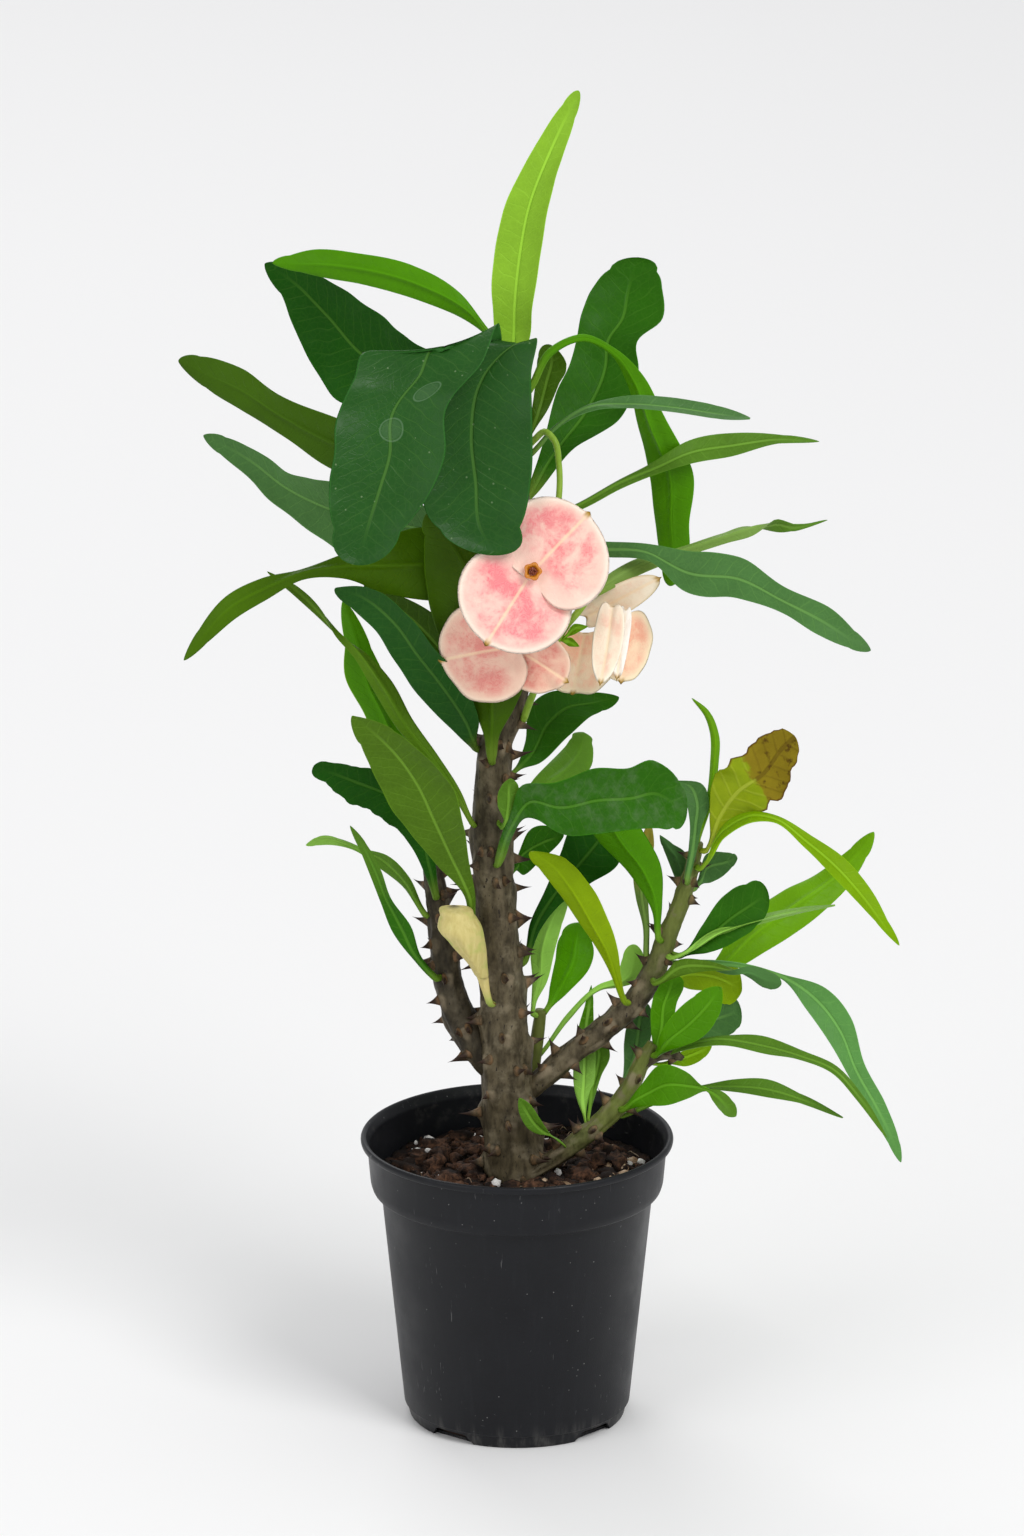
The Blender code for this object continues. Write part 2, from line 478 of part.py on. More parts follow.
def taken_places(name):
    """Points on the leaves and on the other stems, each with its clear distance."""
    rows = []
    for other in STEMS:
        if other != name:
            centres, radii = stem_rows(other, 60)
            rows.append(np.column_stack([centres, radii + THORN_CLEARANCE]))
    for leaf in LEAVES:
        edges, _ = leaf_rows(leaf, 30)
        for share in np.linspace(0.0, 1.0, 7):
            places = edges[:, 0:3] * (1 - share) + edges[:, 3:6] * share
            rows.append(np.column_stack([places, np.full(len(places), THORN_CLEARANCE + 1.5)]))
    return np.concatenate(rows)


def crowded(taken, foot, tip):
    """Whether a thorn would come too near to a leaf or to another stem."""
    for share in (0.0, 0.5, 1.0):
        place = np.array(foot.lerp(tip, share))
        if (np.linalg.norm(taken[:, 0:3] - place, axis=1) < taken[:, 3]).any():
            return True
    return False


def nearest_on_stem(name, place):
    """The stem's centre, radius and direction beside a place."""
    centres, radii = stem_rows(name, 200)
    distance = np.linalg.norm(centres - np.array(place), axis=1)
    index = int(np.argmin(distance))
    low = max(index - 1, 0)
    high = min(index + 1, len(centres) - 1)
    direction = Vector(centres[high] - centres[low]).normalized()
    return Vector(centres[index]), float(radii[index]), direction


def seat_row(stem, left, right):
    """The leaf's base: its two edges just off the stem's surface, facing straight out of it."""
    middle = (left + right) / 2
    centre, radius, direction = nearest_on_stem(stem, middle)
    outward = middle - centre
    outward = (outward - direction * outward.dot(direction)).normalized()
    across = right - left
    across = (across - outward * across.dot(outward)).normalized()
    seat = centre + outward * (radius + GAP)
    return seat, outward, across


def leaf_rows(name, count):
    """A leaf's two edges and how they run, from a short straight start at its stem to its tip."""
    stem, given = LEAVES[name]
    edges = []
    for left_x, left_z, right_x, right_z, toward, tilt in given:
        left = sighted(left_x, left_z, toward - tilt / 2)
        right = sighted(right_x, right_z, toward + tilt / 2)
        edges.append((left, right))
    seat, outward, across = seat_row(stem, *edges[0])
    half = across * PETIOLE_WIDTH / 2
    lead = seat + outward * LEAF_LEAD
    start = [(seat - half, seat + half), (lead - half, lead + half)]
    first = (edges[0][0] + edges[0][1]) / 2
    if (first - lead).length < LEAF_LEAD:
        edges = edges[1:]
    rows = np.array([(*left, *right) for left, right in start + edges])
    knots = row_distances(rows)
    at = np.concatenate([[0.0], np.linspace(LEAF_LEAD, knots[-1], count - 1)])
    return smooth_rows(rows, knots, at)


def leaf_shape(name):
    """A closed blade: eight points round each row, thin edges, and a thick round stalk."""
    rows, changes = leaf_rows(name, LEAF_ROWS)
    left = rows[:, 0:3]
    right = rows[:, 3:6]
    middles = (left + right) / 2
    tangents = changes[:, 0:3] + changes[:, 3:6]
    shape = bmesh.new()
    before = None
    for index in range(LEAF_ROWS):
        share = index / (LEAF_ROWS - 1)
        if index == LEAF_ROWS - 1:
            tip = shape.verts.new(middles[-1])
            for place in range(len(before)):
                shape.faces.new((before[place], before[(place + 1) % len(before)], tip))
            break
        across = Vector(right[index] - left[index])
        upward = across.cross(Vector(tangents[index])).normalized()
        blend = min(share / 0.25, 1.0)
        thickness = PETIOLE_THICKNESS + (BLADE_THICKNESS - PETIOLE_THICKNESS) * blend
        sag = BLADE_CUP * across.length * blend * CUPS.get(name, 1.0)
        ring = []
        for place, side in ((-1.0, 0), (-0.5, 1), (0.0, 1), (0.5, 1), (1.0, 0), (0.5, -1), (0.0, -1), (-0.5, -1)):
            swell = 1.0 - place * place
            lift = side * thickness / 2 * swell - sag * swell
            ring.append(shape.verts.new(Vector(middles[index]) + across * place / 2 + upward * lift))
        if before is None:
            shape.faces.new(ring)
        else:
            join_rings(shape, before, ring)
        before = ring
    return shape


# How strongly a leaf is channelled along its middle, against the usual.
CUPS = {
    "dry_rolled_leaf": 5.0,
    "top_young_leaf": 2.2,
    "sword_leaf": 1.5,
    "lime_bent_leaf": 1.6,
}


def facing(turn, rise):
    """The three directions of a flower: its own right, its own up, and the way it faces."""
    turned = Matrix.Rotation(math.radians(turn), 3, "Z") @ Matrix.Rotation(math.radians(-rise), 3, "X")
    return turned @ Vector((1, 0, 0)), turned @ Vector((0, 0, 1)), turned @ Vector((0, -1, 0))


def bract_shape(name):
    """A round, slightly cupped sheet held near its rim, with a small point at its far end."""
    centre, aim, direction, fold, length, width, lift = BRACTS[name]
    flower_right, flower_up, front = facing(*aim)
    angle = math.radians(direction)
    along = flower_right * math.cos(angle) + flower_up * math.sin(angle)
    across = flower_up * math.cos(angle) - flower_right * math.sin(angle)
    bend = math.radians(fold)
    along, front = along * math.cos(bend) + front * math.sin(bend), (
        front * math.cos(bend) - along * math.sin(bend)
    )
    origin = sighted(*centre) + front * lift
    reach = 1.0 - BRACT_BASE_SHARE

    def point(share, turn, side):
        forward = BRACT_BASE_SHARE + reach * share * math.cos(turn)
        sideways = reach * width * share * math.sin(turn)
        height = 0.10 * (forward**2 + sideways**2) * length
        offset = side * BRACT_THICKNESS / 2 * (1.0 - share**4)
        return origin + (along * forward + across * sideways) * length + front * (height + offset)

    shape = bmesh.new()
    rim = [shape.verts.new(point(1.0, math.tau * i / BRACT_SIDES, 0)) for i in range(BRACT_SIDES)]
    for side in (1, -1):
        outer = rim
        for ring in range(BRACT_RINGS - 1, 0, -1):
            share = ring / BRACT_RINGS
            inner = [
                shape.verts.new(point(share, math.tau * i / BRACT_SIDES, side))
                for i in range(BRACT_SIDES)
            ]
            join_rings(shape, outer, inner)
            outer = inner
        middle = shape.verts.new(point(0.0, 0.0, side))
        for i in range(BRACT_SIDES):
            shape.faces.new((outer[i], outer[(i + 1) % BRACT_SIDES], middle))
    return shape


def centre_shape(name):
    """The small cup of a flower, with a raised middle."""
    place, aim, radius, height = CYATHIA[name]
    right, up, front = facing(*aim)
    foot = sighted(*place)
    profile = ((0.62, 0.0), (1.0, 0.45), (0.95, 0.8), (0.6, 1.0))
    shape = bmesh.new()
    before = None
    for share, rise in profile:
        ring = add_ring(shape, foot + front * rise * height, right, up, radius * share, 12)
        if before is None:
            shape.faces.new(ring)
        else:
            join_rings(shape, before, ring)
        before = ring
    shape.faces.new(before)
    return shape


def turned_shape(profile, sides):
    """A closed solid turned about Z from (radius, height) points that start and end on the axis."""
    shape = bmesh.new()
    before = None
    for radius, height in profile:
        if radius == 0:
            ring = [shape.verts.new((0, 0, height))]
        else:
            ring = add_ring(shape, (0, 0, height), Vector((1, 0, 0)), Vector((0, 1, 0)), radius, sides)
        if before is not None:
            if len(before) == len(ring):
                join_rings(shape, before, ring)
            else:
                single, full = (before[0], ring) if len(before) == 1 else (ring[0], before)
                for index in range(len(full)):
                    shape.faces.new((full[index], full[(index + 1) % len(full)], single))
        before = ring
    return shape


def pot_profile():
    """The pot's wall, outer side from the bottom up and inner side back down."""
    band_foot = POT_HEIGHT - RIM_BAND
    return (
        (0, 0),
        (FOOT_RADIUS - 1.0, 0),
        (FOOT_RADIUS, 1.0),
        (FOOT_RADIUS + 0.6, SEAM_HEIGHT - 0.4),
        (SEAM_RADIUS, SEAM_HEIGHT + 0.4),
        (BODY_TOP_RADIUS, band_foot - 1.0),
        (BAND_FOOT_RADIUS - 0.8, band_foot),
        (BAND_FOOT_RADIUS, band_foot + 1.2),
        (BAND_TOP_RADIUS, POT_HEIGHT - 3.0),
        (RIM_RADIUS, POT_HEIGHT - 1.8),
        (RIM_RADIUS - 0.3, POT_HEIGHT - 0.4),
        (RIM_RADIUS - 1.0, POT_HEIGHT),
        (RIM_RADIUS - 2.4, POT_HEIGHT - 0.6),
        (BAND_TOP_RADIUS - WALL, POT_HEIGHT - 3.4),
        (BAND_FOOT_RADIUS - WALL, band_foot + 1.8),
        (BODY_TOP_RADIUS - WALL, band_foot + 0.2),
        (FOOT_RADIUS + 0.9 - WALL, SEAM_HEIGHT),
        (FOOT_RADIUS - WALL, WALL),
        (0, WALL),
    )


def make_pot():
    """The turned pot, with drainage notches cut through its bottom edge."""
    pot = add_object("nursery_pot", turned_shape(pot_profile(), POT_SIDES), "pot")
    for number, angle in enumerate(NOTCH_ANGLES):
        box = bmesh.new()
        bmesh.ops.create_cube(box, size=1.0)
        size = Matrix.Diagonal((2 * NOTCH_DEPTH, NOTCH_WIDTH, 2 * NOTCH_HEIGHT, 1.0))
        turn = Matrix.Rotation(math.radians(angle), 4, "Z")
        place = turn @ Matrix.Translation((FOOT_RADIUS + 1.0, 0, 0)) @ size
        bmesh.ops.transform(box, matrix=place, verts=box.verts)
        cut(pot, add_cutter("notch_" + str(number), box))
    return pot


def make_soil():
    """Potting mix that fills the pot to below its rim, with a lumpy top."""
    band_foot = POT_HEIGHT - RIM_BAND
    wall_gap = WALL + GAP
    top_radius = BAND_FOOT_RADIUS - wall_gap - 0.2
    profile = (
        (0, SOIL_FLOOR),
        (FOOT_RADIUS - wall_gap - 1.2, SOIL_FLOOR),
        (FOOT_RADIUS + 0.6 - wall_gap, SEAM_HEIGHT),
        (BODY_TOP_RADIUS - wall_gap - 0.4, band_foot + 0.3),
        (BAND_FOOT_RADIUS - wall_gap - 0.6, band_foot + 2.2),
        (top_radius, SOIL_HEIGHT),
        (0.86 * top_radius, SOIL_HEIGHT),
        (0.66 * top_radius, SOIL_HEIGHT),
        (0.44 * top_radius, SOIL_HEIGHT),
        (0.30 * top_radius, SOIL_HEIGHT + 1),
        (0, SOIL_HEIGHT + 1),
    )
    shape = turned_shape(profile, 40)
    for vert in shape.verts:
        radius = math.hypot(vert.co.x, vert.co.y)
        if vert.co.z >= SOIL_HEIGHT and radius < top_radius - 1:
            wave = math.sin(vert.co.x * 0.31 + 1) * math.cos(vert.co.y * 0.27) + math.sin(vert.co.x * 0.8)
            vert.co.z += SOIL_LUMP * wave * 0.5
    return add_object("potting_mix", shape, "soil")


def make_stems():
    """The stems and stalks, each branch cut clear of the stem that it grows from."""
    made = {}
    for name in STEMS:
        look = "stem" if name in THORNS or name == "back_shoot" else "stalk"
        made[name] = add_object(name, stem_shape(name), look)
    socket = add_cutter("main_stem_room", stem_shape("main_stem", GAP, thorns=False))
    for name in STEMS:
        if name != "main_stem":
            cut(made[name], socket)
    return made, socket


def make_leaves():
    for name in LEAVES:
        look = "dry_leaf" if name == "dry_rolled_leaf" else "leaf"
        add_object(name, leaf_shape(name), look)


def make_flowers():
    for name in BRACTS:
        add_object(name, bract_shape(name), "bract")
    for name in CYATHIA:
        add_object(name, centre_shape(name), "centre")


def main():
    clear_scene()
    bpy.context.scene.unit_settings.scale_length = 1.0
    make_pot()
    soil = make_soil()
    _, socket = make_stems()
    cut(soil, socket)
    low_branch = add_cutter("low_branch_room", stem_shape("low_right_branch", GAP, thorns=False))
    cut(soil, low_branch)
    make_leaves()
    make_flowers()


main()
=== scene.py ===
"""Looks of the potted crown of thorns plant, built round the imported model.

Lengths are in millimetres until a mesh is made. A place on the plant is given as (right, up) on
the upright plane through the pot's axis and a distance towards the viewer on the line of sight.
"""

import functools
import math
import random

import bmesh
import bpy
import numpy as np
from mathutils import Matrix, Vector, noise


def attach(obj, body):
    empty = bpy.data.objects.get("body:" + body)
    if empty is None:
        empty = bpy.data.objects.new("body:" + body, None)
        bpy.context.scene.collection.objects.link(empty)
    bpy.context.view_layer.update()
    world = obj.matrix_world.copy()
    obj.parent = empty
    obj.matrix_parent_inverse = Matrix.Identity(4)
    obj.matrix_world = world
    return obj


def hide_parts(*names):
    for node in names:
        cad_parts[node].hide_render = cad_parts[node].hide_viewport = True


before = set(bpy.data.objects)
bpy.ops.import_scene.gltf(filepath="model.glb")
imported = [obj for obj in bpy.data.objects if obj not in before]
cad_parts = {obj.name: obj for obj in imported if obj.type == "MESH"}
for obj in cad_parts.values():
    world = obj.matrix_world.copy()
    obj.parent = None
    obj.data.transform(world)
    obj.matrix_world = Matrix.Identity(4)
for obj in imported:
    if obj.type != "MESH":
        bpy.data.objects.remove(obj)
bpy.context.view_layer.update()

MM = 0.001

# The photograph's viewpoint, and the height that it looks at.
VIEWER = np.array([-2.0, -4000.0, 1570.0])
VIEWER_DISTANCE = 4000.0
AIM_HEIGHT = 271.0
LENS = 250.0
SENSOR = 36.0

# The pot. Its rim band starts RIM_BAND below its top, and the notches' angles are in degrees.
POT_HEIGHT = 117.5
RIM_RADIUS = 62.5
RIM_BAND = 22.0
BAND_TOP_RADIUS = 59.8
BAND_FOOT_RADIUS = 58.4
BODY_TOP_RADIUS = 54.6
SEAM_RADIUS = 45.2
FOOT_RADIUS = 43.6
SEAM_HEIGHT = 5.5
WALL = 1.2
POT_SIDES = 168
NOTCH_WIDTH = 21.0
NOTCH_HEIGHT = 4.2
NOTCH_ANGLES = (-44.0, -127.5, 173.0, 118.0, 66.0, 14.0)

# The potting mix. Loose bits keep STEM_FOOT away from the middle of the main stem.
SOIL_HEIGHT = 101.0
SOIL_RADIUS = 57.0
SOIL_RINGS = 46
SOIL_SIDES = 150
STEM_FOOT = 13.5
FIBRES = 46

# Leaves. A stalk is carried on to its stem in steps, turning towards it, until it is SUNK in it.
ROOT_STEP = 0.5
ROOT_STEPS = 50
ROOT_TURN = 14
SHORT_ROOT = 6
SUNK = 0.6
PETIOLE_WIDTH = 3.0
PETIOLE_THICKNESS = 2.6
BLADE_THICKNESS = 0.55
BLADE_CUP = 0.10
LEAF_STEP = 1.7
BLADE_COLUMNS = (0.0, 0.035, 0.09, 0.18, 0.31, 0.46, 0.62, 0.78, 0.90, 0.97, 1.0)
BLADE_ROWS = 34
# The widths between which a round stalk turns into a flat blade.
STALK_TO_BLADE = (3.4, 12.0)
RIPPLE = 0.55
RIPPLE_LENGTHS = (5.2, 2.9)
TEAR_LENGTHS = (4.5, 1.6)
GROOVE = 0.35
# How far the midrib stands out below at the tip, and how much further at the base.
RIB = (0.15, 1.15)
VEIN_SPACING = 5.6

# Stems. At a leaf scar the bark swells by CUSHION of the stem's radius.
PATH_POINTS = 400
STEM_STEP = 1.3
STEM_SIDES = 44
STALK_SIDES = 18
WAIST = 0.93
CUSHION = 0.17
SCAR_BELOW = 8.5
SCAR_ABOVE = 2.4
SCAR_WIDTH = 3.2
SCAR_LIMIT = 1.2
BARK_ROUGHNESS = 0.35

# Thorns. Each foot and tip is (along the stem, round it), as half widths.
GOLDEN_ANGLE = 137.5
THORN_CLEARANCE = 1.2
LEAF_CLEARANCE = 3.0
PAIR_CHANCE = 0.62
PAIR_GAP = 2.1
THORN_SIDES = 10
THORN_ROWS = 8
THORN_SPLAY = 0.22
THORN_FOOT = (2.5, 1.35)
THORN_TIP = (0.24, 0.2)

# Flowers. NECK is how far a bract is drawn in between its base lobes, as a share of its length.
BRACT_RINGS = 16
BRACT_SIDES = 84
BRACT_THICKNESS = 0.5
NECK = 0.17
NIB = 1.3
CREASE = 0.45

CENTRE_SIDES = 40
CENTRE_TUFTS = 16

# The floor, in metres, and the light that comes from all sides.
FLOOR_RADIUS = 30.0
FLOOR_SHADES = (0.87, 0.865, 0.86, 1.0), (0.89, 0.885, 0.88, 1.0)
SKY = (0.97, 0.98, 1.0, 1.0)
SKY_STRENGTH = 0.62

# Each light's name, place, the height it is aimed at, its size, all in metres, and its power.
LIGHTS = (
    ("key", (1.7, -2.2, 3.0), 0.25, 1.6, 72.0),
    ("fill", (-2.4, -2.2, 1.9), 0.25, 2.2, 26.0),
    ("back", (-0.8, 2.4, 2.4), 0.30, 1.6, 22.0),
)

# Each stem is rows of (right, up, towards the viewer, radius) from its foot to its end.
STEMS = {
    "main_stem": (
        (0, 72, 0, 8.0), (-1, 88, 0, 11.0), (-1, 102, 0, 13.0), (-2, 118, 0, 12.5),
        (-4, 140, 0, 11.2), (-5, 160, 0, 10.6), (-6, 180, 0, 10.0), (-7.5, 200, 0, 9.3),
        (-9, 220, 1, 8.6), (-10, 240, 1, 8.6), (-10, 256, 2, 8.0), (-9.5, 270, 2, 7.4),
        (-7.5, 283, 2, 6.6), (-2.5, 294, 2, 5.2), (1, 306, 1, 4.6), (2, 330, 0, 4.4),
        (1, 370, 0, 4.4), (0, 410, 1, 4.4), (-2, 432, 1, 4.0), (-3, 442, 1, 2.8),
    ),
    "left_stem": (
        (-6, 142, 0, 7.0), (-12, 150, -2, 7.4), (-20, 162, -4, 7.2), (-26, 178, -5, 6.6),
        (-29, 194, -5, 6.0), (-31, 210, -5, 5.0), (-33, 224, -5, 4.6), (-35, 234, -5, 3.6),
    ),
    "upper_right_branch": (
        (0, 132, -1, 4.8), (10, 141, -2, 4.9), (22, 152, -3, 5.0), (35, 162, -4, 5.2),
        (47, 174, -4, 5.2), (55, 188, -4, 4.9), (60, 202, -4, 4.5), (65, 216, -4, 3.9),
        (69, 228, -4, 3.3), (72, 240, -4, 2.4),
    ),
    "low_right_branch": (
        (2, 99, 7, 3.6), (13, 106, 7, 3.8), (25, 115, 6, 4.2), (37, 126, 5, 4.4),
        (45, 137, 4, 4.0), (50, 148, 3, 3.4), (54, 156, 3, 2.6),
    ),
    "back_shoot": (
        (1, 128, -7, 3.0), (5, 136, -10, 3.0), (7, 150, -12, 2.9), (8.5, 162, -13, 2.8),
        (9.5, 170, -13, 2.4),
    ),
    "flower_cluster_stalk": (
        (2.5, 291, 4, 1.6), (4.5, 297, 9, 1.6), (8, 306, 16, 1.5), (11, 313, 22, 1.4),
        (14, 320, 25.3, 1.4), (19, 329, 22, 1.4), (24, 335.5, 18, 1.5), (27, 339.5, 16, 1.3),
    ),
    "front_flower_stalk": (
        (3.5, 402, 2, 1.4), (7, 406, 6, 1.4), (11, 409, 9, 1.4), (14.5, 405.5, 12, 1.4),
        (16.3, 396, 15, 1.3), (16.3, 382, 20, 1.3), (13, 366, 26, 1.3), (6.5, 353, 31, 1.5),
    ),
}

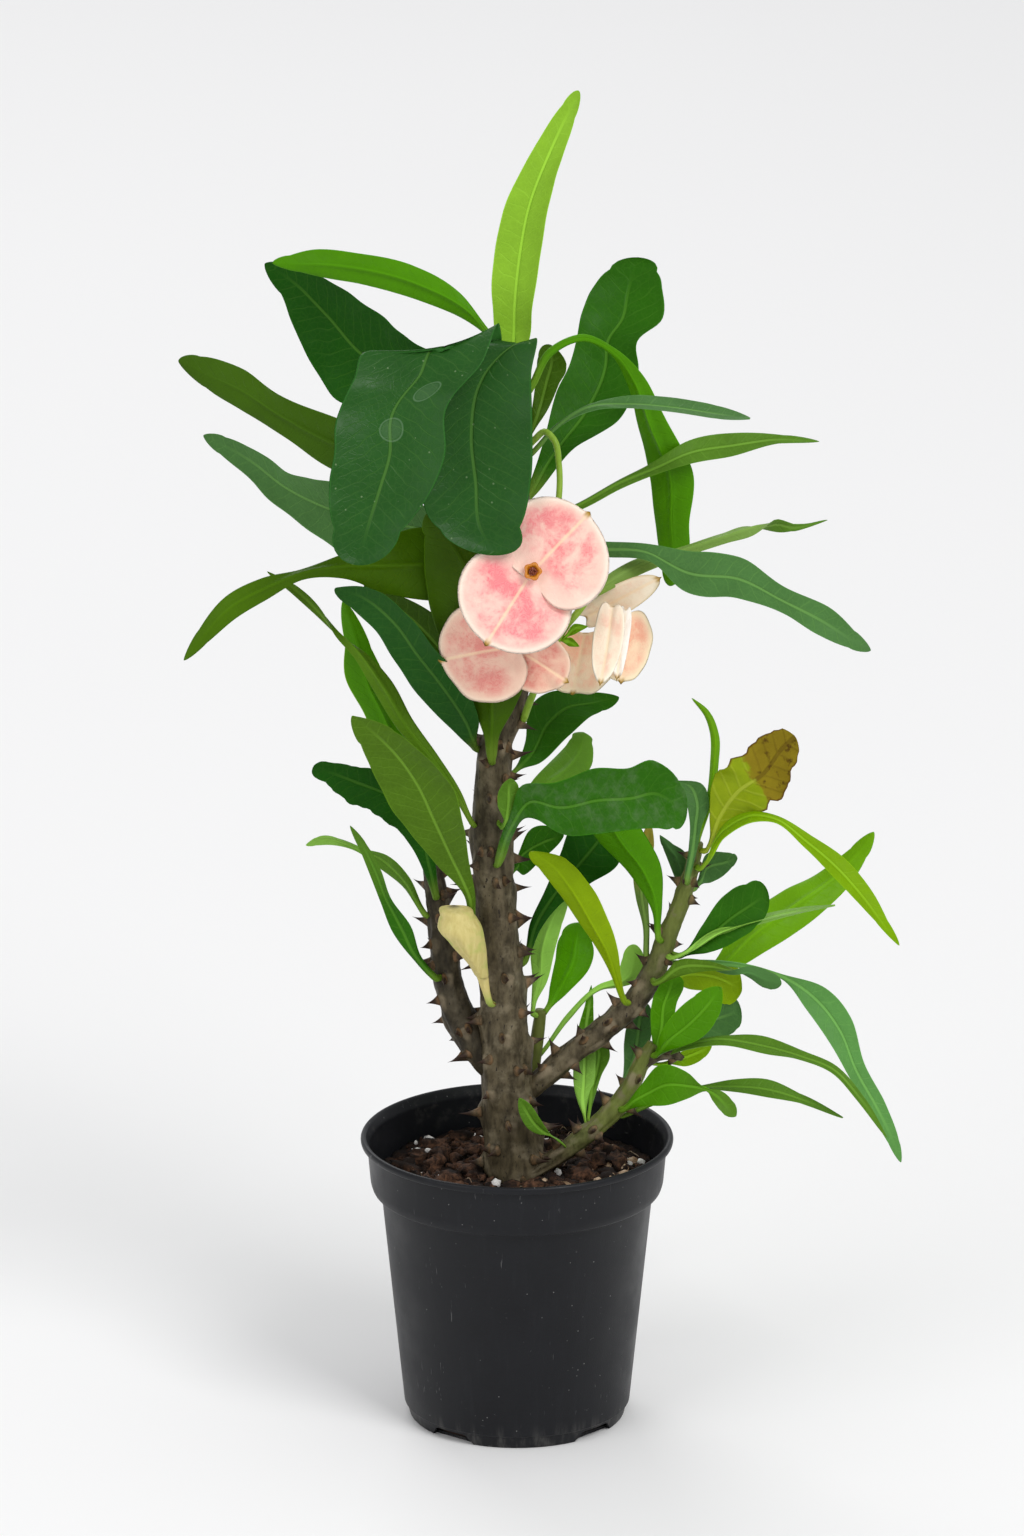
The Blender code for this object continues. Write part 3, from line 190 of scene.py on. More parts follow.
# Each leaf is its stem and rows of (left edge right, up, right edge right, up, towards the
# viewer, how much nearer the right edge is), and last its tip as (right, up, towards the viewer).
# Left and right are as seen from the leaf's base looking to its tip, over its upper surface.
LEAVES = {
    "top_young_leaf": ("main_stem", (
        (-4.5, 437, 0.5, 437, -5, 0), (-7.5, 444, 4, 444, -7, 2), (-9.6, 460, 6, 459, -7, 5),
        (-9, 480, 9, 480, -8, 6),
        (-2, 507, 14, 508, -9, 5), (8, 526, 18, 521, -14, 4), (18, 541, 22.5, 536, -19, 2),
        (24, 546, -20))),
    "upper_left_long_leaf": ("main_stem", (
        (-9, 448, -9.5, 445.5, -4, 0), (-22, 465, -20, 454, -8, 3), (-40, 476, -38, 462, -14, 4),
        (-61, 481, -60, 468.5, -20, 4), (-80, 482.5, -76, 471.5, -26, 3),
        (-89, 480, -85, 473.8, -29, 2), (-95, 477, -30))),
    "upper_left_dark_leaf": ("main_stem", (
        (-10, 427, -10, 430, -7, 0), (-40, 418, -38, 444, -16, 6), (-70, 422, -52, 455, -27, 8),
        (-84, 445, -68, 467, -38, 8), (-92, 465, -85, 475, -46, 4), (-98, 477, -50))),
    "big_front_left_leaf": ("main_stem", (
        (-6, 440, -9, 438, 8, 0), (-6, 447, -30, 440, 13, 0), (-8, 452.5, -58, 442, 20, 0),
        (-13, 438, -64, 430, 31, 0), (-28, 417, -71, 412, 39, 0), (-28, 400, -71.5, 400, 44, 0),
        (-33, 386, -73.5, 388, 48, 0), (-47, 367, -71, 368, 52, 0), (-62, 354.5, 54))),
    "big_front_right_leaf": ("main_stem", (
        (2, 438, -1, 438, 7, 0), (5, 446, -5, 445, 10, 0), (7, 447, -7, 446, 14, 0),
        (5.5, 432, -34, 428, 24, 0), (6, 410, -42, 404, 30, 0), (5.5, 390, -38, 386, 34, 0),
        (1, 370, -30, 369, 37, 0), (-8, 358.5, 39))),
    "upper_right_paddle_leaf": ("main_stem", (
        (4, 386, 7, 383, -6, 0), (10, 404, 22, 402, -14, 3), (15, 424, 40, 414, -25, 5),
        (21, 438, 47.3, 434, -36, 5), (23.3, 448, 46.8, 445, -41, 5),
        (25.5, 458, 56.5, 455, -47, 4), (29.5, 467.5, 56.5, 466, -54, 3),
        (36.5, 475, 54, 474, -58, 1), (47, 479.5, -60))),
    "arching_right_leaf": ("main_stem", (
        (6.5, 426, 4, 427.5, 1, 0), (14, 440, 12, 442.5, -1, 0), (25, 445.5, 25, 448.5, -5, 0),
        (36.5, 440, 38.5, 442.5, -10, 0), (43, 428, 49, 432, -14, 2), (47, 412, 58, 414, -17, 4),
        (52, 390, 69, 391, -19, 4), (54, 372, 67.5, 373, -20, 4), (57, 355, 66, 354, -21, 2),
        (60, 346, -21))),
    "right_upper_leaf": ("main_stem", (
        (6, 402, 7.5, 400.5, -2, 0), (14, 411, 15, 409.5, -1, 0), (28, 420, 29, 417.5, 3, 3),
        (42, 423.5, 44, 418.5, 8, 9), (60, 423, 62, 416.8, 14, 12), (78, 419.5, 78, 414.3, 20, 9),
        (91, 414.5, 25))),
    "right_middle_leaf": ("main_stem", (
        (8, 373, 10, 371, -2, 0), (24, 380, 26.5, 378, -4, 2), (40, 389.5, 41, 386, -6, 3),
        (52, 396, 54, 391.5, -8, 4), (66, 405, 66, 395.5, -12, 7), (85, 408.5, 84, 399, -22, 7),
        (105, 407.5, 103, 404.3, -31, 2), (118, 405, -35))),
    "right_twisted_leaf": ("flower_cluster_stalk", (
        (29, 340, 27.5, 342, 16, 0), (35, 343.5, 32, 347.5, 14, -2), (48, 350.5, 44, 356, 8, -3),
        (66, 358, 64, 362, 4, -3), (82, 363.5, 80, 367.5, 2, -3), (93, 367, 91, 370.5, 1, -5),
        (97, 370, 97, 369, 0, -6), (101, 373.3, 102, 368, -1, -4), (109, 371.3, 108, 368.5, -1, 0),
        (121.5, 373, -1))),
    "right_front_large_leaf": ("main_stem", (
        (6, 366, 6, 363, 3, 0), (33, 364.3, 33, 358, 9, 2), (50, 363.5, 52, 356, 15, 6),
        (68, 360.3, 66, 343.5, 23, 10), (88, 357.7, 86, 341, 31, 10),
        (105, 345.5, 105, 334.5, 38, 8), (123, 337, 118, 326, 43, 6),
        (133, 327, 131, 320.5, 45, 4), (139, 319.5, 45))),
    "left_upper_olive_leaf": ("main_stem", (
        (-6, 388, -6, 385, -8, 0), (-40, 403, -42, 385, -16, 5), (-70, 414.5, -73, 394, -24, 6),
        (-92, 423.5, -91, 407, -32, 5), (-108, 435, -108, 418, -39, 4),
        (-124, 439.5, -122, 427.5, -44, 2), (-132, 437.5, -45))),
    "left_middle_leaf": ("main_stem", (
        (-5, 362, -5, 365, -9, 0), (-40, 357, -40, 380, -26, 6), (-72, 362, -74, 388.5, -42, 8),
        (-93, 378, -90, 393, -53, 6), (-107, 392, -104, 402.5, -62, 4),
        (-117, 401, -115, 407, -68, 2), (-122.5, 407.5, -70))),
    "left_arched_leaf": ("main_stem", (
        (-6, 347, -6, 344, -3, 0), (-36, 370, -34, 340, 5, 6), (-52, 366, -52, 343, 10, 6),
        (-70, 358.5, -68, 349, 15, 4), (-85, 352.8, -84, 348.5, 19, 3),
        (-100, 349.3, -98, 340.5, 22, 3), (-114, 342, -110, 333, 24, 3),
        (-125, 328, -122, 322.5, 25, 1), (-131, 315.5, 25))),
    "centre_olive_leaf": ("main_stem", (
        (-8, 276, -12, 276, 11, 0), (-7, 284, -13, 284, 13, 0), (-1, 296, -18, 297, 14, -2),
        (6, 315, -27, 315, 15, -3), (6, 335, -34, 336, 15, -3), (-6, 358, -36.5, 356, 15, -3),
        (-24, 372, -36, 368, 15, 0), (-34.5, 376.5, 15))),
    "left_dark_blue_leaf": ("main_stem", (
        (-18, 279, -16, 282, 5, 0), (-23, 284, -15, 290, 14, 2), (-37, 299, -21, 306, 19, 5),
        (-47, 313, -32, 320, 21, 6), (-55, 327, -43, 334, 22, 5), (-66, 338, -58, 345, 22, 3),
        (-71.5, 345, 22))),
    "left_ribbed_leaf": ("main_stem", (
        (-12, 293.5, -10.5, 295.5, -2, 0), (-24, 301, -16, 308, -4, 2), (-36, 313, -25, 325, -6, 4),
        (-47, 326, -36, 337, -9, 4), (-56, 338, -50, 343.5, -11, 2),
        (-60, 346.5, -12))),
    "long_narrow_left_leaf": ("main_stem", (
        (-17.5, 250, -19.5, 249, 6, 0), (-22, 261, -25, 259, 7, 0), (-31, 276, -35, 273, 7, 1),
        (-41, 291, -47, 287, 7, 1), (-50, 308, -57, 304, 6, 1), (-60, 319, -64, 316.5, 5, 2),
        (-71.5, 326.7, -71.7, 326, 4, 4), (-79, 334, -76.3, 335.5, 3, 2), (-89, 343.5, -85, 345, 1, 0),
        (-98, 352, 0))),
    "bright_back_left_leaf": ("left_stem", (
        (-33, 236, -36, 236, -9, 0), (-34, 250, -42, 252, -13, 0), (-38, 270, -54, 276, -20, -2),
        (-43, 287, -60, 293, -27, -3), (-49, 302, -67.5, 308, -33, -3),
        (-58, 322, -67.5, 324, -38, -2), (-68, 340.5, -40))),
    "left_front_leaf": ("main_stem", (
        (-19, 206, -16, 206, 8, 0), (-21, 218, -16.5, 218, 14, 0), (-32, 231, -19, 232, 21, 2),
        (-44, 246, -21, 247, 28, 3), (-53, 260.5, -26, 264, 34, 3), (-58.5, 273, -37, 277, 39, 3),
        (-62, 282, -50, 287, 43, 1), (-65, 292.5, 45))),
    "left_dark_lobed_leaf": ("left_stem", (
        (-34, 219, -31, 220, 2, 0), (-37, 228, -32, 230, 5, 0), (-43, 240, -34, 248, 10, 3),
        (-54, 251, -43, 263, 17, 4), (-68, 258, -60, 271, 24, 3), (-76, 265.5, -73, 272.7, 28, 1),
        (-80.5, 271, 30))),
    "left_bent_leaf": ("left_stem", (
        (-38.5, 211, -37, 213, -4, 0), (-45, 221.5, -43, 226, -6, 2),
        (-54, 229, -51, 234.5, -9, 3), (-63, 236, -62, 237.8, -13, 1),
        (-74, 239, -75, 243, -19, 2), (-80, 238.8, -79.5, 242, -23, 1),
        (-83.5, 239, -25))),
    "left_narrow_leaf": ("left_stem", (
        (-35, 184, -33, 186, 4, 0), (-41, 191, -38, 192.5, 6, 0), (-49, 202, -42, 205, 8, 2),
        (-54, 215, -50, 217, 10, 2), (-58, 226, -54, 229, 12, 1), (-62.5, 238, -60, 240, 14, 0),
        (-66, 247, 15))),
    "dry_rolled_leaf": ("main_stem", (
        (-10, 175, -13, 175, 11, 0), (-11.5, 188, -19, 190, 13, 0), (-12.5, 199, -27, 200, 14, 0),
        (-15, 208, -31.5, 207, 14, 0), (-19, 212, -29, 212, 14, 0), (-25, 214, 14))),
    "middle_right_dark_leaf": ("main_stem", (
        (-1, 271, 1, 270, -6, 0), (3, 281, 9, 273, -12, 3), (5, 296, 20, 284, -20, 5),
        (14, 303, 28, 291.5, -27, 5), (27, 302, 34, 295, -33, 3), (40, 300.5, -35))),
    "middle_right_round_leaf": ("main_stem", (
        (0, 253, -1, 256, -10, 0), (12, 260, 7, 267, -20, 0), (25, 266, 13, 273.5, -30, -2),
        (30, 275, 19, 280, -38, -2), (28.5, 283, 23, 284.5, -43, 0),
        (26, 285.5, -45))),
    "middle_front_wide_leaf": ("main_stem", (
        (-8.8, 233, -5, 233, 11, 0), (-6.3, 243, -2, 242, 14, 0), (-2.3, 253, 3, 250, 18, 0),
        (1, 263, 8, 249.5, 22, 2), (15, 265, 17, 243.5, 28, 4), (31, 271, 31, 243.5, 35, 5),
        (44, 271, 45, 245.3, 39, 5), (54, 274, 55, 246, 41, 5), (65, 263, 62, 246.5, 42, 3),
        (67, 251, 42))),
    "centre_right_olive_leaf": ("main_stem", (
        (3, 194, 5, 192, -6, 0), (5, 206, 9, 203, -7.5, 0), (11, 220, 17, 214, -10, 2),
        (17, 235, 29, 223, -14, 5), (22, 247, 40, 231, -19, 5), (33, 253, 42, 244, -24, 3),
        (41, 253, -26))),
    "right_bright_leaf": ("upper_right_branch", (
        (57, 203, 54.5, 202, 1, 0), (57.5, 214, 53.5, 211, 1, 0), (57, 230, 44, 227.5, 1, -2),
        (50, 244, 31, 242, 0, -3), (42, 255, 27, 252, -1, -2), (30, 262, -2))),
    "yellow_green_leaf": ("upper_right_branch", (
        (43, 176, 40.5, 175.5, 5, 0), (41.5, 183, 37.5, 184, 9, 0), (40, 195, 32, 195, 12, -1),
        (36.5, 207, 23, 209, 14, -2), (29, 222, 13.5, 223, 15, -2), (19, 233, 8, 230.5, 15, -1),
        (5.5, 236.5, 15))),
    "shoot_pale_leaf": ("back_shoot", (
        (7.5, 172, 5.5, 171, -10, 0), (12, 182, 6, 183, -12, 0), (15, 195, 5.5, 195, -17, -1),
        (18, 207, 10, 208.5, -23, -1), (20, 219, -28))),
    "shoot_bright_leaf": ("back_shoot", (
        (12.5, 169.5, 11.5, 171.5, -14, 0), (20, 177, 13, 180, -19, 0),
        (29, 188, 15, 190, -25, -2), (29.5, 199, 18, 202, -31, -2),
        (25, 206.5, -35))),
    "sword_leaf": ("upper_right_branch", (
        (73, 243, 70.5, 243, -3, 0), (77, 256, 74, 255, -6, 0), (79.5, 273, 76, 272, -10, 0),
        (79.5, 285, 76, 285, -14, 0), (76, 294, 73.5, 293, -18, 0),
        (68.7, 300, -20))),
    "browning_leaf": ("upper_right_branch", (
        (75.5, 240, 76.5, 238, 0, 0), (76, 252, 84, 249, 1, 2), (77.5, 268, 96, 253, 5, 5),
        (88, 276, 105, 260, 8, 6), (100, 285.5, 109, 273, 10, 4), (109.5, 284, 11))),
    "lime_bent_leaf": ("upper_right_branch", (
        (74, 232, 75, 230.5, 3, 0), (83, 249, 82, 242, 8, 4), (94, 253, 93, 248.5, 12, 5),
        (102, 251.5, 101, 248.5, 15, 3), (117, 242.5, 113.5, 238, 20, 4),
        (130, 233, 124, 227, 25, 6), (141, 219, 134, 216, 28, 5), (147.5, 206, 143, 206, 30, 2),
        (151.5, 197, 30))),
    "dark_oval_leaf": ("upper_right_branch", (
        (66.5, 195, 67, 192.5, 0, 0), (73, 205, 76, 194, 5, 3), (82, 218, 87, 199, 8, 6),
        (92, 222.5, 96, 207.5, 10, 4), (99.5, 219, 10))),
    "long_back_leaf": ("upper_right_branch", (
        (59, 180.5, 58, 182, -9, 0), (80, 184, 76, 188, -20, -2), (98, 194, 88, 207, -34, -6),
        (117, 207.5, 104, 219, -46, -7), (131, 221.5, 120, 228, -55, -5),
        (138.5, 235, 133, 238.5, -59, -2), (141, 244.5, -60))),
    "long_hanging_leaf": ("upper_right_branch", (
        (63, 190.8, 64, 188.8, -4, 0), (76, 191, 76, 188.8, -4, 0), (92, 189, 92, 187, -1, 0),
        (106, 184.8, 105.5, 182.5, 4, 1), (122, 179.5, 115, 170, 10, 4),
        (133, 166, 125, 155, 16, 5), (138, 148, 132, 142, 20, 4), (147, 130, 141, 126, 23, 4),
        (152.5, 114, 148.5, 113, 25, 2), (153.2, 105.5, 25))),
    "low_front_glossy_leaf": ("low_right_branch", (
        (55, 152.5, 57, 151, 7, 0), (57, 160, 64, 154, 14, 2), (62, 168, 73, 158, 18, 4),
        (71, 176, 79.5, 167, 20, 4), (81, 179.5, 20))),
    "long_arching_leaf": ("low_right_branch", (
        (57, 152, 58, 150, 0, 0), (66, 156, 67, 153, 8, 2), (83, 159.2, 83, 155, 20, 5),
        (98, 159, 99, 151.3, 28, 7), (114, 152.7, 112, 149, 35, 5),
        (127, 146.5, 125, 143.5, 40, 3), (138, 133.5, 136, 131, 44, 2),
        (147.5, 116, 45))),
    "low_far_leaf": ("low_right_branch", (
        (43, 126.5, 44, 125, 2, 0), (58, 134, 59, 131.5, 3, 2), (73, 138, 73, 136, 4, 3),
        (87, 140.8, 87, 135.3, 5, 6), (100, 140.7, 100, 133, 6, 7), (114, 134, 114, 130.3, 7, 4),
        (130, 124.5, 7))),
    "low_near_leaf": ("low_right_branch", (
        (43, 130, 44, 127.5, 11, 0), (49, 138, 51, 129.3, 17, 4), (58, 147, 60, 129.8, 24, 7),
        (68, 143.5, 68, 132.5, 29, 5), (75, 137, 75.5, 135.5, 33, 0), (81, 136, 78, 131.5, 37, 3),
        (86.5, 130, 83, 126, 40, 2), (87.3, 125, 40))),
}

# Small leaves, leaves that only show in part and two bractlets, in the same form as the others.
EXTRA_LEAVES = {
    "thin_stalked_leaf": ("back_shoot", (
        (11, 152, 10, 153.5, -13, 0), (21, 166, 20, 168.5, -14, 0), (34, 178.5, 33, 181, -15, 0),
        (41, 179.5, 39, 183.5, -16, 0), (48, 182, 40.5, 187, -17, 0), (50, 190, 42.5, 193, -18, 0),
        (47, 197.4, -18))),
    "upright_lance_leaf": ("low_right_branch", (
        (26.6, 124, 27.6, 123.8, 3, 0), (24.2, 131, 28.2, 131, -1, 0),
        (22.4, 140, 30.8, 140, -7, 0), (22.7, 150, 31.2, 149, -11, 0),
        (24.5, 163, 30.5, 163, -14, 0), (27, 172, 30.3, 172, -15, 0),
        (29.5, 180.5, -16))),
    "round_low_leaf": ("low_right_branch", (
        (28, 126, 29.2, 125.5, 3, 0), (28.6, 140, 33.5, 142, -8, 0), (28.6, 152, 37, 151, -14, 0),
        (29, 161, 34.5, 160, -17, 0), (31.8, 166, -18))),
    "low_back_leaf": ("low_right_branch", (
        (41.2, 137.5, 43, 138, -1, 0), (42.5, 147, 49.5, 149, -9, 0), (42.6, 157, 53, 157, -13, 0),
        (45, 166, 53, 168, -15, 0), (50.5, 173, -16))),
    "shoot_left_leaf": ("upper_right_branch", (
        (66, 221, 64.6, 219, -8, 0), (68.5, 231, 62.3, 225.5, -11, 0),
        (66, 236.5, 59.5, 233, -12, 0), (61, 239.8, 57.3, 239, -12, 0),
        (56.4, 243.2, -12))),
    "shoot_right_leaf": ("upper_right_branch", (
        (71.3, 224, 72.3, 222, -8, 0), (74.6, 235, 77, 223.5, -10, 0),
        (82, 236, 82.3, 226.8, -11, 0), (85.5, 235.2, 85.3, 230.2, -11, 0),
        (87.2, 233.4, -11))),
    "shoot_upright_leaf": ("upper_right_branch", (
        (66.3, 227, 68.8, 226, 0.5, 0), (67.8, 238, 71.4, 238, 1, 0), (68.2, 248, 73, 247, 0, 0),
        (66.6, 257, 75.8, 256, -3, 0), (63.8, 262.5, 73, 264.3, -6, 0),
        (61.5, 265.8, -7))),
    "edge_on_leaf": ("upper_right_branch", (
        (64.3, 193.6, 65, 192.2, 4, 0), (80, 204.2, 80.5, 202.3, 7, 6),
        (95, 209.5, 95.5, 207.4, 9, 8), (112, 213, 112, 211.3, 11, 6), (126, 214, 12))),
    "twisted_front_leaf": ("upper_right_branch", (
        (57, 183.7, 58, 181.3, 6, 0), (64, 191, 66, 184.5, 9, 3), (76, 190.5, 76, 186.3, 11, 3),
        (85, 187.5, 85, 186.6, 13, 5), (92, 183.5, 92, 188.5, 14, 0), (100, 179, 101, 185.5, 15, 0),
        (105, 181, 15))),
    "brown_edged_leaf": ("low_right_branch", (
        (53.6, 151, 55, 152, 2, 0), (53.2, 162, 61.5, 162, 3, 0), (53.4, 172, 63.5, 173, 2, 0),
        (56, 179, 66, 181, 0, 0), (62, 185, -1))),
    "lime_back_leaf": ("upper_right_branch", (
        (60, 184, 60, 182, -3, 0), (68, 190, 68, 178.8, -6, 0), (78, 190, 77, 177.3, -8, 0),
        (87, 188, 84, 172.5, -10, 0), (89.3, 178, -11))),
    "low_lime_leaf": ("low_right_branch", (
        (60, 148.5, 60.5, 147, -3, 0), (67, 153.5, 68, 146.3, -5, 0), (73, 155.5, 74.5, 150, -6, 0),
        (77.5, 155, -7))),
    "low_teal_leaf": ("low_right_branch", (
        (56, 152, 57, 150.5, -5, 0), (66, 166, 70, 155, -8, 0), (78, 174, 82, 158, -10, 0),
        (84, 174, 87.8, 163, -11, 0), (88.6, 171.8, -12))),
    "dried_strip_leaf": ("upper_right_branch", (
        (50, 191, 52.5, 192, -6, 0), (49.8, 205, 52.5, 205, -7, 0), (47, 217, 52, 216, -9, 0),
        (46, 228, 52.5, 228, -11, 0), (49, 240, 54, 238, -12, 0), (52.5, 249, -13))),
    "stem_foot_leaf": ("low_right_branch", (
        (12.6, 116.8, 13.2, 117.6, 16, 0), (9, 117.3, 11.8, 119.8, 17, 0),
        (4.5, 119.8, 9, 124.3, 18, 0), (1.5, 125, 6, 129, 18, 0), (0.8, 132.7, 18))),
    "small_olive_leaf": ("main_stem", (
        (4, 408, 6, 408, -5, 0), (6, 420, 12, 418, -8, 0), (7.5, 432, 16.2, 428, -11, 0),
        (8.5, 440, 19, 436, -13, 0), (13, 444.3, -14))),
    "centre_low_leaf": ("main_stem", (
        (-1, 231, -1, 228, -8, 0), (4, 244, 3, 226.5, -12, 3), (12, 247, 10, 233.5, -14, 3),
        (18.5, 242.8, -14))),
    "folded_side_lobe": ("main_stem", (
        (-5.3, 249, -3.8, 249, 16.2, 0), (-7.7, 256, 1.5, 257, 18.5, -3),
        (-6.3, 263, 0.5, 263.3, 20, -3), (-2.5, 266.6, 20.5))),
    "upper_bractlet": ("flower_cluster_stalk", (
        (18.5, 325.5, 19, 324.6, 24, 0), (22.5, 330.5, 23.2, 326.5, 25.5, 0),
        (27.8, 329.4, 26))),
    "lower_bractlet": ("flower_cluster_stalk", (
        (17.6, 324.6, 17.3, 323.4, 24, 0), (21.5, 324.8, 20.6, 321.2, 25.5, 0),
        (24.5, 321.2, 26))),
}
ALL_LEAVES = LEAVES | EXTRA_LEAVES

# The looks of these, as for the others.
EXTRA_LOOKS = {
    "thin_stalked_leaf": ("pale_green", {"vein": 0.3}, {"roundness": 1.8}),
    "upright_lance_leaf": ("pale_green", {"tip": "fresh_green", "vein": 0.6}, {"roundness": 1.2}),
    "round_low_leaf": ("soft_green", {}, {"roundness": 1.8}),
    "low_back_leaf": ("grey_green", {}, {"roundness": 1.6}),
    "shoot_left_leaf": ("grey_green", {"under": "grey_green"}, {"roundness": 1.2}),
    "shoot_right_leaf": ("grey_green", {}, {"wave": 1.5}),
    "shoot_upright_leaf": ("grey_green", {}, {}),
    "edge_on_leaf": ("pale_green", {"under": "pale_green"}, {}),
    "twisted_front_leaf": ("soft_olive", {"under": "grey_green"}, {"roundness": 1.8}),
    "brown_edged_leaf": ("fresh_green", {"under": "fresh_green"}, {"wave": 1.6}),
    "lime_back_leaf": ("yellow_green", {"under": "yellow_green"}, {"wave": 1.4}),
    "low_lime_leaf": ("lime", {"under": "lime"}, {}),
    "low_teal_leaf": ("grey_green", {"under": "grey_green"}, {"roundness": 2.0}),
    "dried_strip_leaf": ("pale_olive", {"tip": "straw"}, {"wave": 1.2}),
    "stem_foot_leaf": ("soft_green", {"gloss": 0.32}, {}),
    "small_olive_leaf": ("olive", {"under": "olive"}, {"roundness": 1.7}),
    "centre_low_leaf": ("forest", {"under": "forest"}, {}),
    "folded_side_lobe": ("soft_green", {"under": "soft_green"}, {}),
    "upper_bractlet": ("bright_green", {"under": "bright_green"}, {"roundness": 1.2}),
    "lower_bractlet": ("bright_green", {"under": "bright_green"}, {"roundness": 1.2}),
}

# The broken end of the low branch, in the same form as the other stems.
EXTRA_STEMS = {
    "low_branch_stub": (
        (50, 147, 3, 2.8), (57, 151.5, 2, 2.8), (62, 151.5, 1, 2.4), (66, 149.6, 0, 1.3),
    ),
}
ALL_STEMS = STEMS | EXTRA_STEMS

# For each thorny stem: how far along it the thorns start and stop, their spacing, their length.
THORNS = {
    "main_stem": (30.0, 236.0, 2.9, 7.2),
    "left_stem": (14.0, 100.0, 3.0, 6.2),
    "upper_right_branch": (18.0, 132.0, 4.2, 5.4),
    "low_right_branch": (14.0, 74.0, 5.0, 4.8),
    "low_branch_stub": (8.0, 15.0, 4.0, 5.0),
}

# Where each stem turns from bark to green: the distances along it where that starts and ends.
# The other stems are green all along.
ALL_GREEN = (-50.0, -20.0)
GREENING = {
    "main_stem": (330.0, 400.0),
    "left_stem": (92.0, 120.0),
    "upper_right_branch": (30.0, 130.0),
    "low_right_branch": (-30.0, 90.0),
    "low_branch_stub": (10.0, 60.0),
    "back_shoot": (-20.0, 30.0),
}

# Display colours of 0 to 255, as a leaf looks in even light.
TONES = {
    "blue_green": (32, 77, 24),
    "deep_green": (20, 72, 2),
    "forest": (40, 93, 7),
    "dark_olive": (56, 87, 2),
    "olive": (56, 88, 8),
    "soft_olive": (71, 104, 17),
    "grey_green": (70, 112, 56),
    "soft_green": (79, 119, 30),
    "pale_olive": (99, 128, 58),
    "fresh_green": (70, 128, 2),
    "bright_green": (88, 134, 6),
    "cool_green": (86, 138, 68),
    "yellow_green": (122, 152, 4),
    "lime": (114, 155, 1),
    "pale_green": (122, 169, 66),
    "young_green": (130, 175, 45),
    "yellowing": (146, 176, 1),
    "straw": (160, 147, 54),
}

# The pale rings on a leaf: how far beside its midrib, how far along it, and the radius.
LEAF_RINGS = ((-9.0, 64.0, 5.2), (-0.5, 79.0, 5.4))

